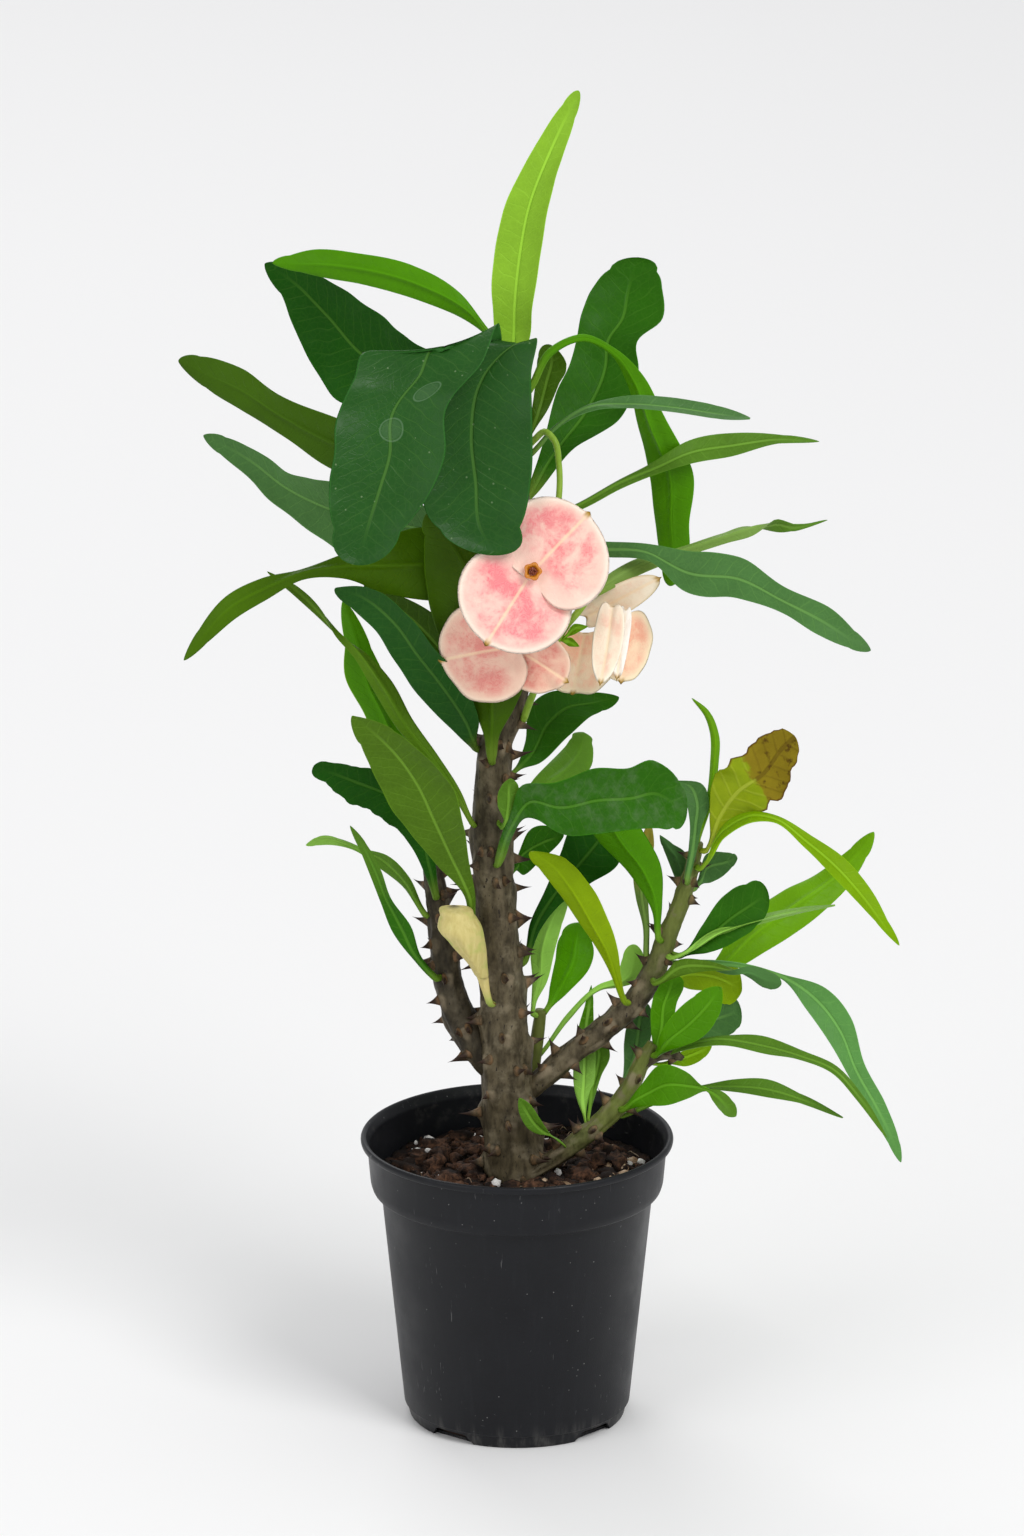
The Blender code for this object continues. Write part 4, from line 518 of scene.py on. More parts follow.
# How each leaf looks: its tone, options of its look, and options of its form.
LEAF_LOOKS = {
    "top_young_leaf": (
        "young_green",
        {"under": "young_green", "gloss": 0.36},
        {"cup": 1.8, "roundness": 1.7},
    ),
    "upper_left_long_leaf": ("fresh_green", {"under": "fresh_green", "vein": 0.45}, {"wave": 1.6}),
    "upper_left_dark_leaf": ("deep_green", {"under": "forest", "vein": 0.4}, {"wave": 1.3}),
    "big_front_left_leaf": (
        "blue_green",
        {"vein": 0.38, "gloss": 0.34, "shine": 0.14, "rings": LEAF_RINGS, "flecks": 0.35},
        {"roundness": 2.0, "wave": 0.8},
    ),
    "big_front_right_leaf": (
        "blue_green",
        {"vein": 0.38, "gloss": 0.34, "shine": 0.14, "flecks": 0.3},
        {"roundness": 2.0, "wave": 0.8},
    ),
    "upper_right_paddle_leaf": ("forest", {"under": "forest", "vein": 0.4}, {"roundness": 2.0}),
    "arching_right_leaf": ("fresh_green", {"under": "fresh_green", "vein": 0.35}, {"roundness": 1.8}),
    "right_upper_leaf": ("grey_green", {}, {}),
    "right_middle_leaf": ("soft_green", {}, {"wave": 1.4}),
    "right_twisted_leaf": ("pale_olive", {"tip": "soft_green", "vein": 0.4}, {}),
    "right_front_large_leaf": ("grey_green", {"under": "dark_olive"}, {"wave": 1.4}),
    "left_upper_olive_leaf": ("olive", {"under": "olive", "vein": 0.4}, {"wave": 1.5}),
    "left_middle_leaf": ("grey_green", {"vein": 0.45}, {"wave": 1.4}),
    # The left arched leaf's dark olive is painted shade on its first half, and its soft green tip is
    # painted light shining through the blade.
    "left_arched_leaf": ("dark_olive", {"tip": "soft_green", "vein": 0.4}, {"wave": 1.3}),
    "centre_olive_leaf": ("dark_olive", {"under": "dark_olive", "vein": 0.6}, {}),
    "left_dark_blue_leaf": ("blue_green", {"vein": 0.35}, {}),
    "left_ribbed_leaf": ("olive", {"vein": 0.6}, {}),
    "long_narrow_left_leaf": ("soft_olive", {"vein": 0.4}, {}),
    "bright_back_left_leaf": ("yellow_green", {"under": "fresh_green", "vein": 0.4}, {}),
    "left_front_leaf": ("soft_olive", {"vein": 0.6, "gloss": 0.38}, {"roundness": 1.3}),
    "left_dark_lobed_leaf": ("deep_green", {"vein": 0.3}, {"wave": 1.8, "roundness": 2.8, "ragged": 0.14}),
    "left_bent_leaf": ("soft_green", {"tip": "pale_green", "vein": 0.4}, {}),
    "left_narrow_leaf": ("forest", {"tip": "soft_green", "vein": 0.4}, {}),
    "dry_rolled_leaf": (
        "straw",
        {},
        {"roll": 112.0, "wave": 0.6, "cup": 0.0, "roundness": 3.0, "ragged": 0.12},
    ),
    "middle_right_dark_leaf": ("forest", {"vein": 0.3}, {}),
    "middle_right_round_leaf": ("soft_green", {"vein": 0.35}, {"roundness": 2.0}),
    "middle_front_wide_leaf": (
        "forest",
        {"vein": 0.4, "gloss": 0.36, "dust": 0.14},
        {"wave": 1.2, "roundness": 1.8},
    ),
    "centre_right_olive_leaf": ("deep_green", {"vein": 0.3}, {}),
    "right_bright_leaf": ("deep_green", {"under": "fresh_green", "vein": 0.4}, {}),
    "yellow_green_leaf": ("yellow_green", {"under": "yellow_green", "vein": 0.4}, {}),
    "shoot_pale_leaf": ("pale_green", {"vein": 0.35}, {}),
    "shoot_bright_leaf": ("fresh_green", {"vein": 0.35}, {"roundness": 1.9}),
    "sword_leaf": ("bright_green", {"vein": 0.3}, {"cup": 1.5}),
    "browning_leaf": ("yellowing", {}, {"wave": 2.4, "ragged": 0.22, "roundness": 1.9}),
    "lime_bent_leaf": ("lime", {"under": "lime", "vein": 0.4}, {"cup": 1.4}),
    "dark_oval_leaf": ("forest", {"vein": 0.35}, {"roundness": 2.0}),
    "long_back_leaf": ("bright_green", {"vein": 0.45}, {}),
    "long_hanging_leaf": ("cool_green", {"vein": 0.45}, {}),
    "low_front_glossy_leaf": ("fresh_green", {"vein": 0.3, "gloss": 0.3}, {}),
    "long_arching_leaf": ("soft_green", {"vein": 0.4}, {}),
    "low_far_leaf": ("soft_green", {"vein": 0.4}, {}),
    "low_near_leaf": ("fresh_green", {"tip": "soft_green", "vein": 0.4}, {}),
}

# Colours of each bract: pale ground, flush, how strong the flush is, and rim.
BRACT_LOOKS = {
    "front_flower_upper_bract": ((249, 212, 194), (238, 122, 128), 0.85, (255, 240, 222)),
    "front_flower_lower_bract": ((249, 208, 192), (238, 116, 126), 0.9, (255, 240, 222)),
    "rear_flower_left_bract": ((240, 204, 180), (224, 116, 112), 0.75, (246, 224, 200)),
    "rear_flower_right_bract": ((236, 194, 168), (216, 104, 98), 0.85, (244, 218, 192)),
    "side_flower_upper_bract": ((250, 238, 212), (244, 204, 172), 0.5, (226, 204, 156)),
    "side_flower_lower_bract": ((255, 234, 200), (254, 182, 146), 0.7, (252, 234, 200)),
    "half_open_left_bract": ((255, 240, 214), (250, 184, 158), 0.5, (255, 250, 232)),
    "half_open_right_bract": ((250, 224, 188), (240, 156, 128), 0.75, (250, 236, 196)),
    "half_open_inner_bract": ((255, 252, 244), (255, 236, 220), 0.3, (255, 252, 244)),
}

# Each bract is its flower's centre as (right, up, toward the viewer), the flower's aim as degrees
# turned right and tipped up, the bract's direction from the centre on the flower's face, its
# fold toward the face, its length, its width over its length, the share of its length from the
# centre to its middle, how deeply it is cupped, how far its rim is ruffled, its
# sideways slant and how far its base lobes are shifted sideways.
BRACTS = {
    "front_flower_upper_bract": ((6, 352, 34.3), (4, 18), 45, 4, 31.0, 1.17, 0.36, 0.10, 0.8, 0.05, -1.6),
    "front_flower_lower_bract": ((6, 352, 33.7), (4, 18), 236, 2, 33.5, 1.13, 0.385, 0.10, 0.8, 0.05, 0.0),
    "rear_flower_left_bract": ((-2, 321, 27.6), (-8, 0), 194, -8, 29.0, 1.12, 0.36, 0.10, 0.9, -0.03, 0.0),
    "rear_flower_right_bract": ((-2, 321, 26.6), (-8, 0), 328, -8, 25.0, 0.92, 0.45, 0.10, 0.8, -0.03, 0.0),
    "side_flower_upper_bract": ((24, 331, 9), (0, 0), 34, 8, 39.0, 0.30, 0.46, 0.12, 0.3, 0.0, 0.0),
    "side_flower_lower_bract": ((27.5, 331, 8), (8, -10), 262, -8, 32.5, 0.95, 0.48, 0.10, 0.9, 0.0, 0.0),
    "half_open_left_bract": ((37.4, 340, 23), (-20, 2), 267, 0, 31.5, 0.36, 0.45, 0.26, 0.3, 0.0, 0.0),
    "half_open_inner_bract": ((43, 338.5, 19), (10, 0), 260.5, 0, 29.0, 0.2, 0.45, 0.2, 0.3, 0.0, 0.0),
    "half_open_right_bract": ((42.3, 337, 13.5), (24, 2), 262, 0, 28.5, 0.80, 0.45, 0.18, 0.6, 0.0, 0.0),
}

# Each flower centre is its place and aim, given as for the bracts, its radius and its height.
CYATHIA = {
    "front_flower_centre": ((6, 352, 35.8), (4, 18), 3.3, 3.2),
}


def sighted(right, up, toward):
    """The point a distance in front of (right, up) of the axis plane, on its line of sight."""
    plane = np.array([right, 0.0, up])
    return plane + (VIEWER - plane) * toward / VIEWER_DISTANCE


def unit(vectors):
    """Vectors at length one, whatever their number."""
    return vectors / np.maximum(np.linalg.norm(vectors, axis=-1, keepdims=True), 1e-9)


def ramp(values, start, end):
    """A smooth step from 0 at start to 1 at end."""
    t = np.clip((np.asarray(values, dtype=float) - start) / (end - start), 0.0, 1.0)
    return t * t * (3 - 2 * t)


def row_distances(rows):
    """How far along each row of one place, or of a left and a right edge, lies."""
    spans = np.linalg.norm(np.diff((rows[:, 0:3] + rows[:, -3:]) / 2, axis=0), axis=1)
    return np.concatenate([[0.0], np.cumsum(spans)])


def smooth_rows(rows, knots, at):
    """Rows, and how they change, at distances along a smooth curve through the given rows."""
    slopes = np.gradient(rows, knots, axis=0)
    index = np.clip(np.searchsorted(knots, at, side="right") - 1, 0, len(knots) - 2)
    width = (knots[index + 1] - knots[index])[:, None]
    t = (at - knots[index])[:, None] / width
    behind = rows[index]
    ahead = rows[index + 1]
    leaving = slopes[index] * width
    coming = slopes[index + 1] * width
    places = (
        behind * (2 * t**3 - 3 * t**2 + 1)
        + leaving * (t**3 - 2 * t**2 + t)
        + ahead * (3 * t**2 - 2 * t**3)
        + coming * (t**3 - t**2)
    )
    changes = (
        (ahead - behind) * (6 * t - 6 * t**2)
        + leaving * (3 * t**2 - 4 * t + 1)
        + coming * (3 * t**2 - 2 * t)
    )
    return places, changes / width


def even_turns(count):
    """Even angles round a circle."""
    return np.arange(count) * math.tau / count


def add_object(name, data):
    """An object of the scene that shows a mesh, a light or a camera."""
    made = bpy.data.objects.new(name, data)
    bpy.context.scene.collection.objects.link(made)
    return made


def mesh_from(shape, name):
    """A mesh with a bmesh's shape, which is freed."""
    mesh = bpy.data.meshes.new(name)
    shape.to_mesh(mesh)
    shape.free()
    return mesh


def add_piece(name, parts, look, node=None):
    """A piece from (points, faces, marks) parts in millimetres; marks are per-point vectors."""
    points = np.concatenate([part[0] for part in parts])
    faces = []
    start = 0
    for part in parts:
        faces += [tuple(index + start for index in face) for face in part[1]]
        start += len(part[0])
    mesh = bpy.data.meshes.new(name)
    mesh.from_pydata((points * MM).tolist(), [], faces)
    for key in parts[0][2]:
        values = np.concatenate([part[2][key] for part in parts])
        layer = mesh.attributes.new(key, "FLOAT_VECTOR", "POINT")
        layer.data.foreach_set("vector", values.astype(np.float32).ravel())
    shape = bmesh.new()
    shape.from_mesh(mesh)
    bmesh.ops.recalc_face_normals(shape, faces=shape.faces)
    shape.to_mesh(mesh)
    shape.free()
    mesh.shade_smooth()
    mesh.materials.append(look)
    piece = add_object(name, mesh)
    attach(piece, "root")
    if node:
        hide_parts(node)
    return piece


def ring_faces(rows, sides, first=0):
    """Faces between rings of points, one ring after another."""
    faces = []
    for low in range(first, first + (rows - 1) * sides, sides):
        for side in range(sides):
            after = (side + 1) % sides
            faces.append((low + side, low + after, low + sides + after, low + sides + side))
    return faces


def tube_faces(rows, sides, point_end=False):
    """Faces of rings joined in a row, with a cap at the start and a cap or point at the end."""
    faces = [*ring_faces(rows, sides), tuple(range(sides))]
    last = (rows - 1) * sides
    if point_end:
        tip = rows * sides
        faces += [(last + side, last + (side + 1) % sides, tip) for side in range(sides)]
    else:
        faces.append(tuple(last + side for side in range(sides)))
    return faces


# Materials


def tone(red, green, blue):
    """A linear colour from display values of 0 to 255."""
    return tuple(
        value / 255 / 12.92 if value <= 10 else ((value / 255 + 0.055) / 1.055) ** 2.4
        for value in (red, green, blue)
    ) + (1.0,)


def shaded(colour, factor):
    """A colour made lighter or darker."""
    return tuple(min(value * factor, 1.0) for value in colour[:3]) + (1.0,)


class Shader:
    """A Principled material, with short calls that add nodes to it and return their output."""

    def __init__(self, name, roughness=0.5, specular=0.5):
        self.material = bpy.data.materials.new(name)
        self.material.use_nodes = True
        self.tree = self.material.node_tree
        self.shader = self.tree.nodes["Principled BSDF"]
        self.set(self.shader, "Roughness", roughness)
        self.set(self.shader, "Specular IOR Level", specular)

    def set(self, node, socket, value):
        if isinstance(value, bpy.types.NodeSocket):
            self.tree.links.new(value, node.inputs[socket])
        else:
            node.inputs[socket].default_value = value

    def math(self, operation, first, second=0.0):
        node = self.tree.nodes.new("ShaderNodeMath")
        node.operation = operation
        self.set(node, 0, first)
        self.set(node, 1, second)
        return node.outputs[0]

    def plus(self, first, second):
        return self.math("ADD", first, second)

    def less(self, first, second):
        return self.math("SUBTRACT", first, second)

    def times(self, first, second):
        return self.math("MULTIPLY", first, second)

    def most(self, first, second):
        return self.math("MAXIMUM", first, second)

    def size(self, value):
        return self.math("ABSOLUTE", value)

    def stray(self, value, pattern, reach):
        """A value that strays up and down with a pattern."""
        return self.plus(value, self.times(self.less(pattern, 0.5), reach))

    def step(self, value, start, end, low=0.0, high=1.0):
        """A smooth change from low to high as value goes from start to end."""
        node = self.tree.nodes.new("ShaderNodeMapRange")
        node.interpolation_type = "SMOOTHSTEP"
        sockets = "Value", "From Min", "From Max", "To Min", "To Max"
        for socket, given in zip(sockets, (value, start, end, low, high)):
            self.set(node, socket, given)
        return node.outputs["Result"]

    def mix(self, factor, first, second):
        node = self.tree.nodes.new("ShaderNodeMix")
        node.data_type = "RGBA"
        self.set(node, 0, factor)
        self.set(node, 6, first)
        self.set(node, 7, second)
        return node.outputs[2]

    def tint(self, colour, mask, share, other):
        """A colour that goes that share of the way to another one where the mask is 1."""
        return self.mix(self.times(mask, share), colour, other)

    def mark(self, key):
        """The three numbers of a mesh's per-point mark."""
        node = self.tree.nodes.new("ShaderNodeAttribute")
        node.attribute_name = key
        split = self.tree.nodes.new("ShaderNodeSeparateXYZ")
        self.set(split, 0, node.outputs["Vector"])
        return split.outputs[0], split.outputs[1], split.outputs[2]

    def place(self, stretch=(1.0, 1.0, 1.0)):
        """The place on the object in millimetres, stretched."""
        node = self.tree.nodes.new("ShaderNodeTexCoord")
        scale = self.tree.nodes.new("ShaderNodeVectorMath")
        scale.operation = "MULTIPLY"
        self.set(scale, 0, node.outputs["Object"])
        self.set(scale, 1, tuple(value / MM for value in stretch))
        return scale.outputs[0]

    def noise(self, place, size, detail=3.0, roughness=0.55, distortion=0.0):
        """Noise whose features are about size millimetres across."""
        node = self.tree.nodes.new("ShaderNodeTexNoise")
        self.set(node, "Vector", place)
        self.set(node, "Scale", 1.0 / size)
        self.set(node, "Detail", detail)
        self.set(node, "Roughness", roughness)
        self.set(node, "Distortion", distortion)
        return node.outputs["Fac"]

    def cells(self, place, size, feature="F1"):
        node = self.tree.nodes.new("ShaderNodeTexVoronoi")
        node.feature = feature
        self.set(node, "Vector", place)
        self.set(node, "Scale", 1.0 / size)
        return node.outputs["Distance"]

    def bump(self, height, depth):
        """Relief of depth millimetres where height goes from 0 to 1."""
        node = self.tree.nodes.new("ShaderNodeBump")
        self.set(node, "Strength", 1.0)
        self.set(node, "Distance", depth * MM)
        self.set(node, "Height", height)
        self.set(self.shader, "Normal", node.outputs["Normal"])

    def finish(self, colour, roughness=None):
        self.set(self.shader, "Base Color", colour)
        if roughness is not None:
            self.set(self.shader, "Roughness", roughness)
        return self.material


def leaf_look(
    name, upper, under=None, vein=0.5, gloss=0.42, tip=None, rings=(), dust=0.0, shine=0.08, flecks=0.0
):
    """Blade colour with midrib, side veins and fine net, paler below, with a pale margin."""
    upper = tone(*TONES[upper])
    under = tone(*TONES[under]) if under else shaded(upper, 1.35)
    look = Shader(name, 0.5, shine)
    across, along, side = look.mark("blade")
    spread, share, _ = look.mark("spread")
    place = look.place()
    patches = look.noise(place, 16.0, 3.0)
    speckle = look.noise(place, 2.2, 2.0)
    from_midrib = look.size(across)
    warp = look.times(look.noise(place, 9.0, 1.0), 5.0)
    run = look.less(look.plus(along, warp), look.times(from_midrib, 0.75))
    line = look.math("PINGPONG", run, VEIN_SPACING / 2)
    side_veins = look.step(line, 0.5, 0.06)
    side_veins = look.times(side_veins, look.step(spread, 0.97, 0.72))
    side_veins = look.times(side_veins, look.step(patches, 0.25, 0.6, 0.35, 1.0))
    midrib = look.times(look.step(from_midrib, 0.95, 0.35), look.step(share, 0.99, 0.75))
    net = look.step(look.cells(place, 2.6, "DISTANCE_TO_EDGE"), 0.10, 0.02)
    veins = look.most(midrib, look.times(side_veins, 0.36))
    veins = look.most(veins, look.times(net, 0.12))
    below = look.step(side, 0.2, -0.2)

    def blade(colour):
        dark = look.mix(patches, shaded(colour, 0.72), shaded(colour, 1.24))
        return look.tint(dark, speckle, 0.35, shaded(colour, 1.25))

    top = blade(upper)
    # On the left arched leaf, the dark blade is painted shade and the tip's lighter tone is painted light
    # shining through it.
    if tip:
        edge = look.stray(share, patches, 0.3)
        top = look.mix(look.step(edge, 0.45, 0.85), top, blade(tone(*TONES[tip])))
    vein_colour = look.mix(0.28, shaded(upper, 2.1), tone(150, 190, 84))
    top = look.tint(top, veins, vein, vein_colour)
    low = look.tint(blade(under), veins, vein * 0.8, shaded(under, 1.5))
    colour = look.mix(below, top, low)
    colour = look.tint(colour, look.step(spread, 0.955, 0.99), 0.5, shaded(upper, 2.3))
    stalk = look.step(share, 0.16, 0.02)
    colour = look.tint(colour, stalk, 0.55, tone(124, 152, 52))
    if dust:
        film = look.step(look.noise(place, 7.0, 5.0, 0.7), 0.42, 0.75)
        colour = look.tint(colour, film, dust, tone(150, 156, 138))
    for beside, beyond, radius in rings:
        gap = look.math("POWER", look.less(across, beside), 2.0)
        gap = look.plus(gap, look.math("POWER", look.less(along, beyond), 2.0))
        gap = look.plus(look.math("SQRT", gap), look.times(patches, 1.5))
        rim = look.times(look.step(look.size(look.less(gap, radius)), 0.5, 0.1), 0.3)
        disc = look.step(gap, radius, radius - 1, 0.0, 0.12)
        colour = look.mix(look.most(rim, disc), colour, tone(120, 150, 118))
    if flecks:
        fleck = look.step(look.cells(place, 5.0), 0.10, 0.05)
        colour = look.tint(colour, fleck, flecks, tone(150, 172, 130))
    height = look.plus(look.times(veins, -1.0), look.times(speckle, 0.25))
    look.bump(height, 0.28)
    wet = look.noise(place, 5.0, 3.0)
    return look.finish(colour, look.step(wet, 0.2, 0.8, gloss - 0.07, gloss + 0.12))


def browning_look():
    """A yellow-green leaf that has browned from its tip, with a dark brown end of the midrib."""
    look = Shader("browning_leaf", 0.5, 0.12)
    across, along, _ = look.mark("blade")
    spread, share, _ = look.mark("spread")
    place = look.place()
    patches = look.noise(place, 9.0, 5.0, 0.6)
    from_midrib = look.size(across)
    run = look.less(along, look.times(from_midrib, 0.6))
    veins = look.step(look.math("PINGPONG", run, VEIN_SPACING / 2), 0.8, 0.1)
    midrib = look.step(from_midrib, 1.1, 0.4)
    veins = look.most(look.times(veins, 0.4), midrib)
    fresh = look.mix(patches, tone(112, 134, 4), tone(160, 178, 20))
    fresh = look.tint(fresh, veins, 0.5, tone(188, 200, 70))
    dry = look.mix(patches, tone(112, 92, 10), tone(150, 134, 26))
    dry = look.mix(look.step(look.noise(place, 3.0, 4.0), 0.55, 0.7), dry, tone(88, 66, 8))
    dry = look.tint(dry, veins, 0.4, tone(70, 40, 8))
    front = look.stray(share, patches, 0.35)
    front = look.plus(front, look.times(across, 0.006))
    colour = look.mix(look.step(front, 0.60, 0.66), fresh, dry)
    burnt = look.times(look.step(spread, 0.9, 0.99), look.step(front, 0.45, 0.6))
    colour = look.mix(burnt, colour, tone(92, 60, 12))
    look.bump(look.plus(veins, look.times(patches, 1.5)), 0.3)
    return look.finish(colour, look.step(front, 0.5, 0.7, 0.4, 0.62))


def dry_look():
    """A rolled dead leaf: straw coloured with greenish and brown streaks along it."""
    look = Shader("dry_leaf")
    spread, share, _ = look.mark("spread")
    streaks = look.noise(look.place((1.0, 1.0, 0.22)), 1.8, 4.0, 0.6)
    patches = look.noise(look.place(), 8.0, 3.0)
    colour = look.mix(streaks, tone(176, 158, 76), tone(226, 212, 146))
    colour = look.mix(look.step(patches, 0.5, 0.72), colour, tone(176, 182, 92))
    colour = look.mix(look.step(share, 0.22, 0.02), colour, tone(150, 168, 70))
    brown = look.times(look.step(spread, 0.93, 1.0), look.step(patches, 0.35, 0.6))
    colour = look.mix(brown, colour, tone(120, 84, 40))
    look.bump(streaks, 0.5)
    return look.finish(colour, 0.62)


def bark_look(name="bark", shade=1.0):
    """Grey-brown bark that turns green up the stem, scarred round the thorns, with dark tips. A shade below
    1 darkens the bark colours as painted shade.
    """
    look = Shader(name, 0.6, 0.2)
    thorn, green, cushion = look.mark("bark")
    place = look.place()
    drawn = look.place((1.0, 1.0, 0.4))
    grain = look.noise(drawn, 3.4, 5.0, 0.6)
    patches = look.noise(place, 9.0, 4.0, 0.6)
    # A shade below 1 darkens these bark colours as painted shade; the left stem's copy uses 0.5.
    deep, pale = shaded(tone(48, 41, 26), shade), shaded(tone(98, 88, 66), shade)
    bark = look.mix(look.step(grain, 0.28, 0.75), deep, pale)
    bark = look.mix(look.step(patches, 0.48, 0.76), bark, shaded(tone(122, 112, 90), shade))
    bark = look.mix(look.step(look.noise(drawn, 1.1, 3.0), 0.62, 0.7), bark, tone(38, 32, 25))
    young = look.mix(grain, tone(66, 74, 26), tone(122, 132, 62))
    young = look.mix(look.step(patches, 0.55, 0.7), young, tone(112, 108, 76))
    turn = look.stray(green, patches, 0.6)
    colour = look.mix(look.step(turn, 0.25, 0.75), bark, young)
    scar = look.times(look.step(cushion, 0.55, 0.95), look.step(patches, 0.3, 0.6, 0.3, 1.0))
    colour = look.tint(colour, scar, 0.6, tone(142, 128, 104))
    rust = look.times(look.step(thorn, 0.02, 0.12), look.step(thorn, 0.5, 0.2))
    rust = look.times(rust, look.step(grain, 0.42, 0.6, 0.1, 0.5))
    colour = look.mix(rust, colour, tone(138, 100, 66))
    colour = look.mix(look.step(thorn, 0.2, 0.6), colour, tone(52, 36, 28))
    height = look.plus(look.times(grain, 0.8), look.times(patches, 0.5))
    look.bump(height, 0.5)
    return look.finish(colour, look.step(grain, 0.3, 0.7, 0.66, 0.48))


def stalk_look():
    """Yellow-green skin with fine streaks along it."""
    look = Shader("flower_stalk", 0.4, 0.2)
    patches = look.noise(look.place((1.0, 1.0, 0.3)), 3.0, 3.0)
    colour = look.mix(patches, tone(96, 130, 14), tone(160, 196, 76))
    look.bump(patches, 0.15)
    return look.finish(colour, 0.38)


def bract_look(name, pale, flush, strength, rim):
    """Pale sheet with a soft blush, pink mottling in fine rays, a cream middle line and rim."""
    look = Shader(name, 0.45, 0.35)
    forward, sideways, share = look.mark("sheet")
    place = look.place()
    angle = look.math("ARCTAN2", sideways, look.plus(forward, 5.0))
    rays = look.math("PINGPONG", look.plus(angle, look.noise(place, 7.0, 2.0)), 0.03)
    rays = look.step(rays, 0.008, 0.024)
    cloud = look.noise(place, 10.0, 4.0, 0.6, 0.4)
    fine = look.noise(place, 1.4, 5.0, 0.7)
    inner = look.step(share, 0.98, 0.70)
    blush = look.times(look.step(cloud, 0.26, 0.58), inner)
    deep = look.stray(cloud, fine, 0.45)
    deep = look.times(look.step(deep, 0.42, 0.66), look.step(share, 0.96, 0.66))
    deep = look.times(deep, look.plus(look.times(rays, 0.35), 0.65))
    ground, flushed = tone(*pale), tone(*flush)
    colour = look.tint(ground, blush, 0.5 * strength, flushed)
    colour = look.tint(colour, deep, strength, flushed)
    from_line = look.size(sideways)
    line = look.times(look.step(from_line, 1.0, 0.15), look.step(forward, -2.0, 3.0))
    colour = look.tint(colour, line, 0.6, tone(252, 226, 186))
    colour = look.tint(colour, look.step(share, 0.86, 1.0), 0.75, tone(*rim))
    colour = look.tint(colour, look.step(forward, 7.0, 1.0), 0.8, ground)
    tip = look.times(look.step(from_line, 1.8, 0.5), look.step(share, 0.86, 0.98))
    tip = look.times(tip, look.step(forward, 0.0, 4.0))
    colour = look.mix(tip, colour, tone(178, 138, 50))
    look.bump(look.plus(fine, look.times(rays, 0.4)), 0.10)
    return look.finish(colour)


def centre_look():
    """Glossy amber glands round a dark red-brown middle."""
    look = Shader("flower_centre", 0.25, 0.6)
    ring, _, _ = look.mark("cup")
    speckle = look.noise(look.place(), 0.7, 3.0)
    glands = look.mix(speckle, tone(176, 92, 8), tone(226, 150, 30))
    middle = look.mix(speckle, tone(70, 28, 8), tone(170, 70, 24))
    colour = look.mix(look.step(ring, 0.62, 0.45), glands, middle)
    look.bump(speckle, 0.3)
    return look.finish(colour)


def pot_look():
    """Charcoal plastic with a soft sheen, fine scratches, dust specks and chalky marks inside."""
    look = Shader("pot_plastic", 0.4, 0.2)
    place = look.place()
    height, inside, _ = look.mark("pot")
    haze = look.noise(place, 26.0, 4.0, 0.6)
    fine = look.noise(place, 0.5, 2.0)
    around = look.noise(look.place((1.0, 1.0, 0.06)), 5.0, 5.0, 0.7)
    scratch = look.noise(look.place((1.0, 1.0, 0.09)), 1.3, 2.0, 0.5, 1.4)
    scratch = look.times(look.step(scratch, 0.69, 0.74), look.step(haze, 0.5, 0.62))
    slanted = look.noise(look.place((0.16, 0.5, 0.5)), 1.0, 2.0, 0.5, 1.0)
    slanted = look.times(look.step(slanted, 0.71, 0.75), look.step(haze, 0.45, 0.35))
    specks = look.step(look.cells(place, 3.4), 0.085, 0.05)
    specks = look.times(specks, look.step(look.noise(place, 7.0, 1.0), 0.52, 0.6))
    colour = look.mix(haze, tone(15, 16, 19), tone(27, 28, 32))
    colour = look.tint(colour, look.step(around, 0.5, 0.8), 0.18, tone(46, 48, 52))
    marks = look.most(scratch, slanted)
    colour = look.tint(colour, marks, 0.38, tone(128, 128, 128))
    colour = look.tint(colour, specks, 0.55, tone(150, 150, 148))
    tide = look.times(inside, look.step(look.noise(place, 6.0, 4.0, 0.7), 0.5, 0.75))
    colour = look.tint(colour, tide, 0.12, tone(150, 146, 138))
    foot = look.times(look.step(height, 12.0, 3.0), look.step(around, 0.45, 0.7))
    colour = look.tint(colour, foot, 0.3, tone(110, 108, 104))
    look.bump(look.plus(look.times(fine, 0.5), marks), 0.06)
    rough = look.step(haze, 0.3, 0.7, 0.36, 0.5)
    return look.finish(colour, look.plus(rough, look.times(specks, 0.3)))


def soil_look(name, dark, light, size, relief, roughness=0.9):
    """Patches of two colours, size millimetres across, that stand out by their relief."""
    look = Shader(name, roughness, 0.25)
    place = look.place()
    patches = look.noise(place, size, 5.0, 0.7)
    each = look.noise(place, size * 3.1, 1.0)
    colour = look.mix(look.step(patches, 0.3, 0.7), tone(*dark), tone(*light))
    colour = look.mix(look.step(each, 0.35, 0.65), shaded(tone(*dark), 0.9), colour)
    look.bump(patches, relief)
    return look.finish(colour)


# Stems


@functools.lru_cache(maxsize=None)
def stem_path(name, count):
    """Centres, radii, directions and two cross directions at even distances along a stem."""
    places = np.array([sighted(*row[:3]) for row in ALL_STEMS[name]])
    rows = np.column_stack([places, [row[3] for row in ALL_STEMS[name]]])
    knots = row_distances(places)
    rows, _ = smooth_rows(rows, knots, np.linspace(0.0, knots[-1], count))
    centres = rows[:, 0:3]
    tangents = unit(np.gradient(centres, axis=0))
    side = np.array([1.0, 0.0, 0.0])
    sides = []
    for tangent in tangents:
        side = unit(side - tangent * side.dot(tangent))
        sides.append(side)
    sides = np.array(sides)
    return centres, rows[:, 3], tangents, sides, np.cross(tangents, sides), knots[-1]


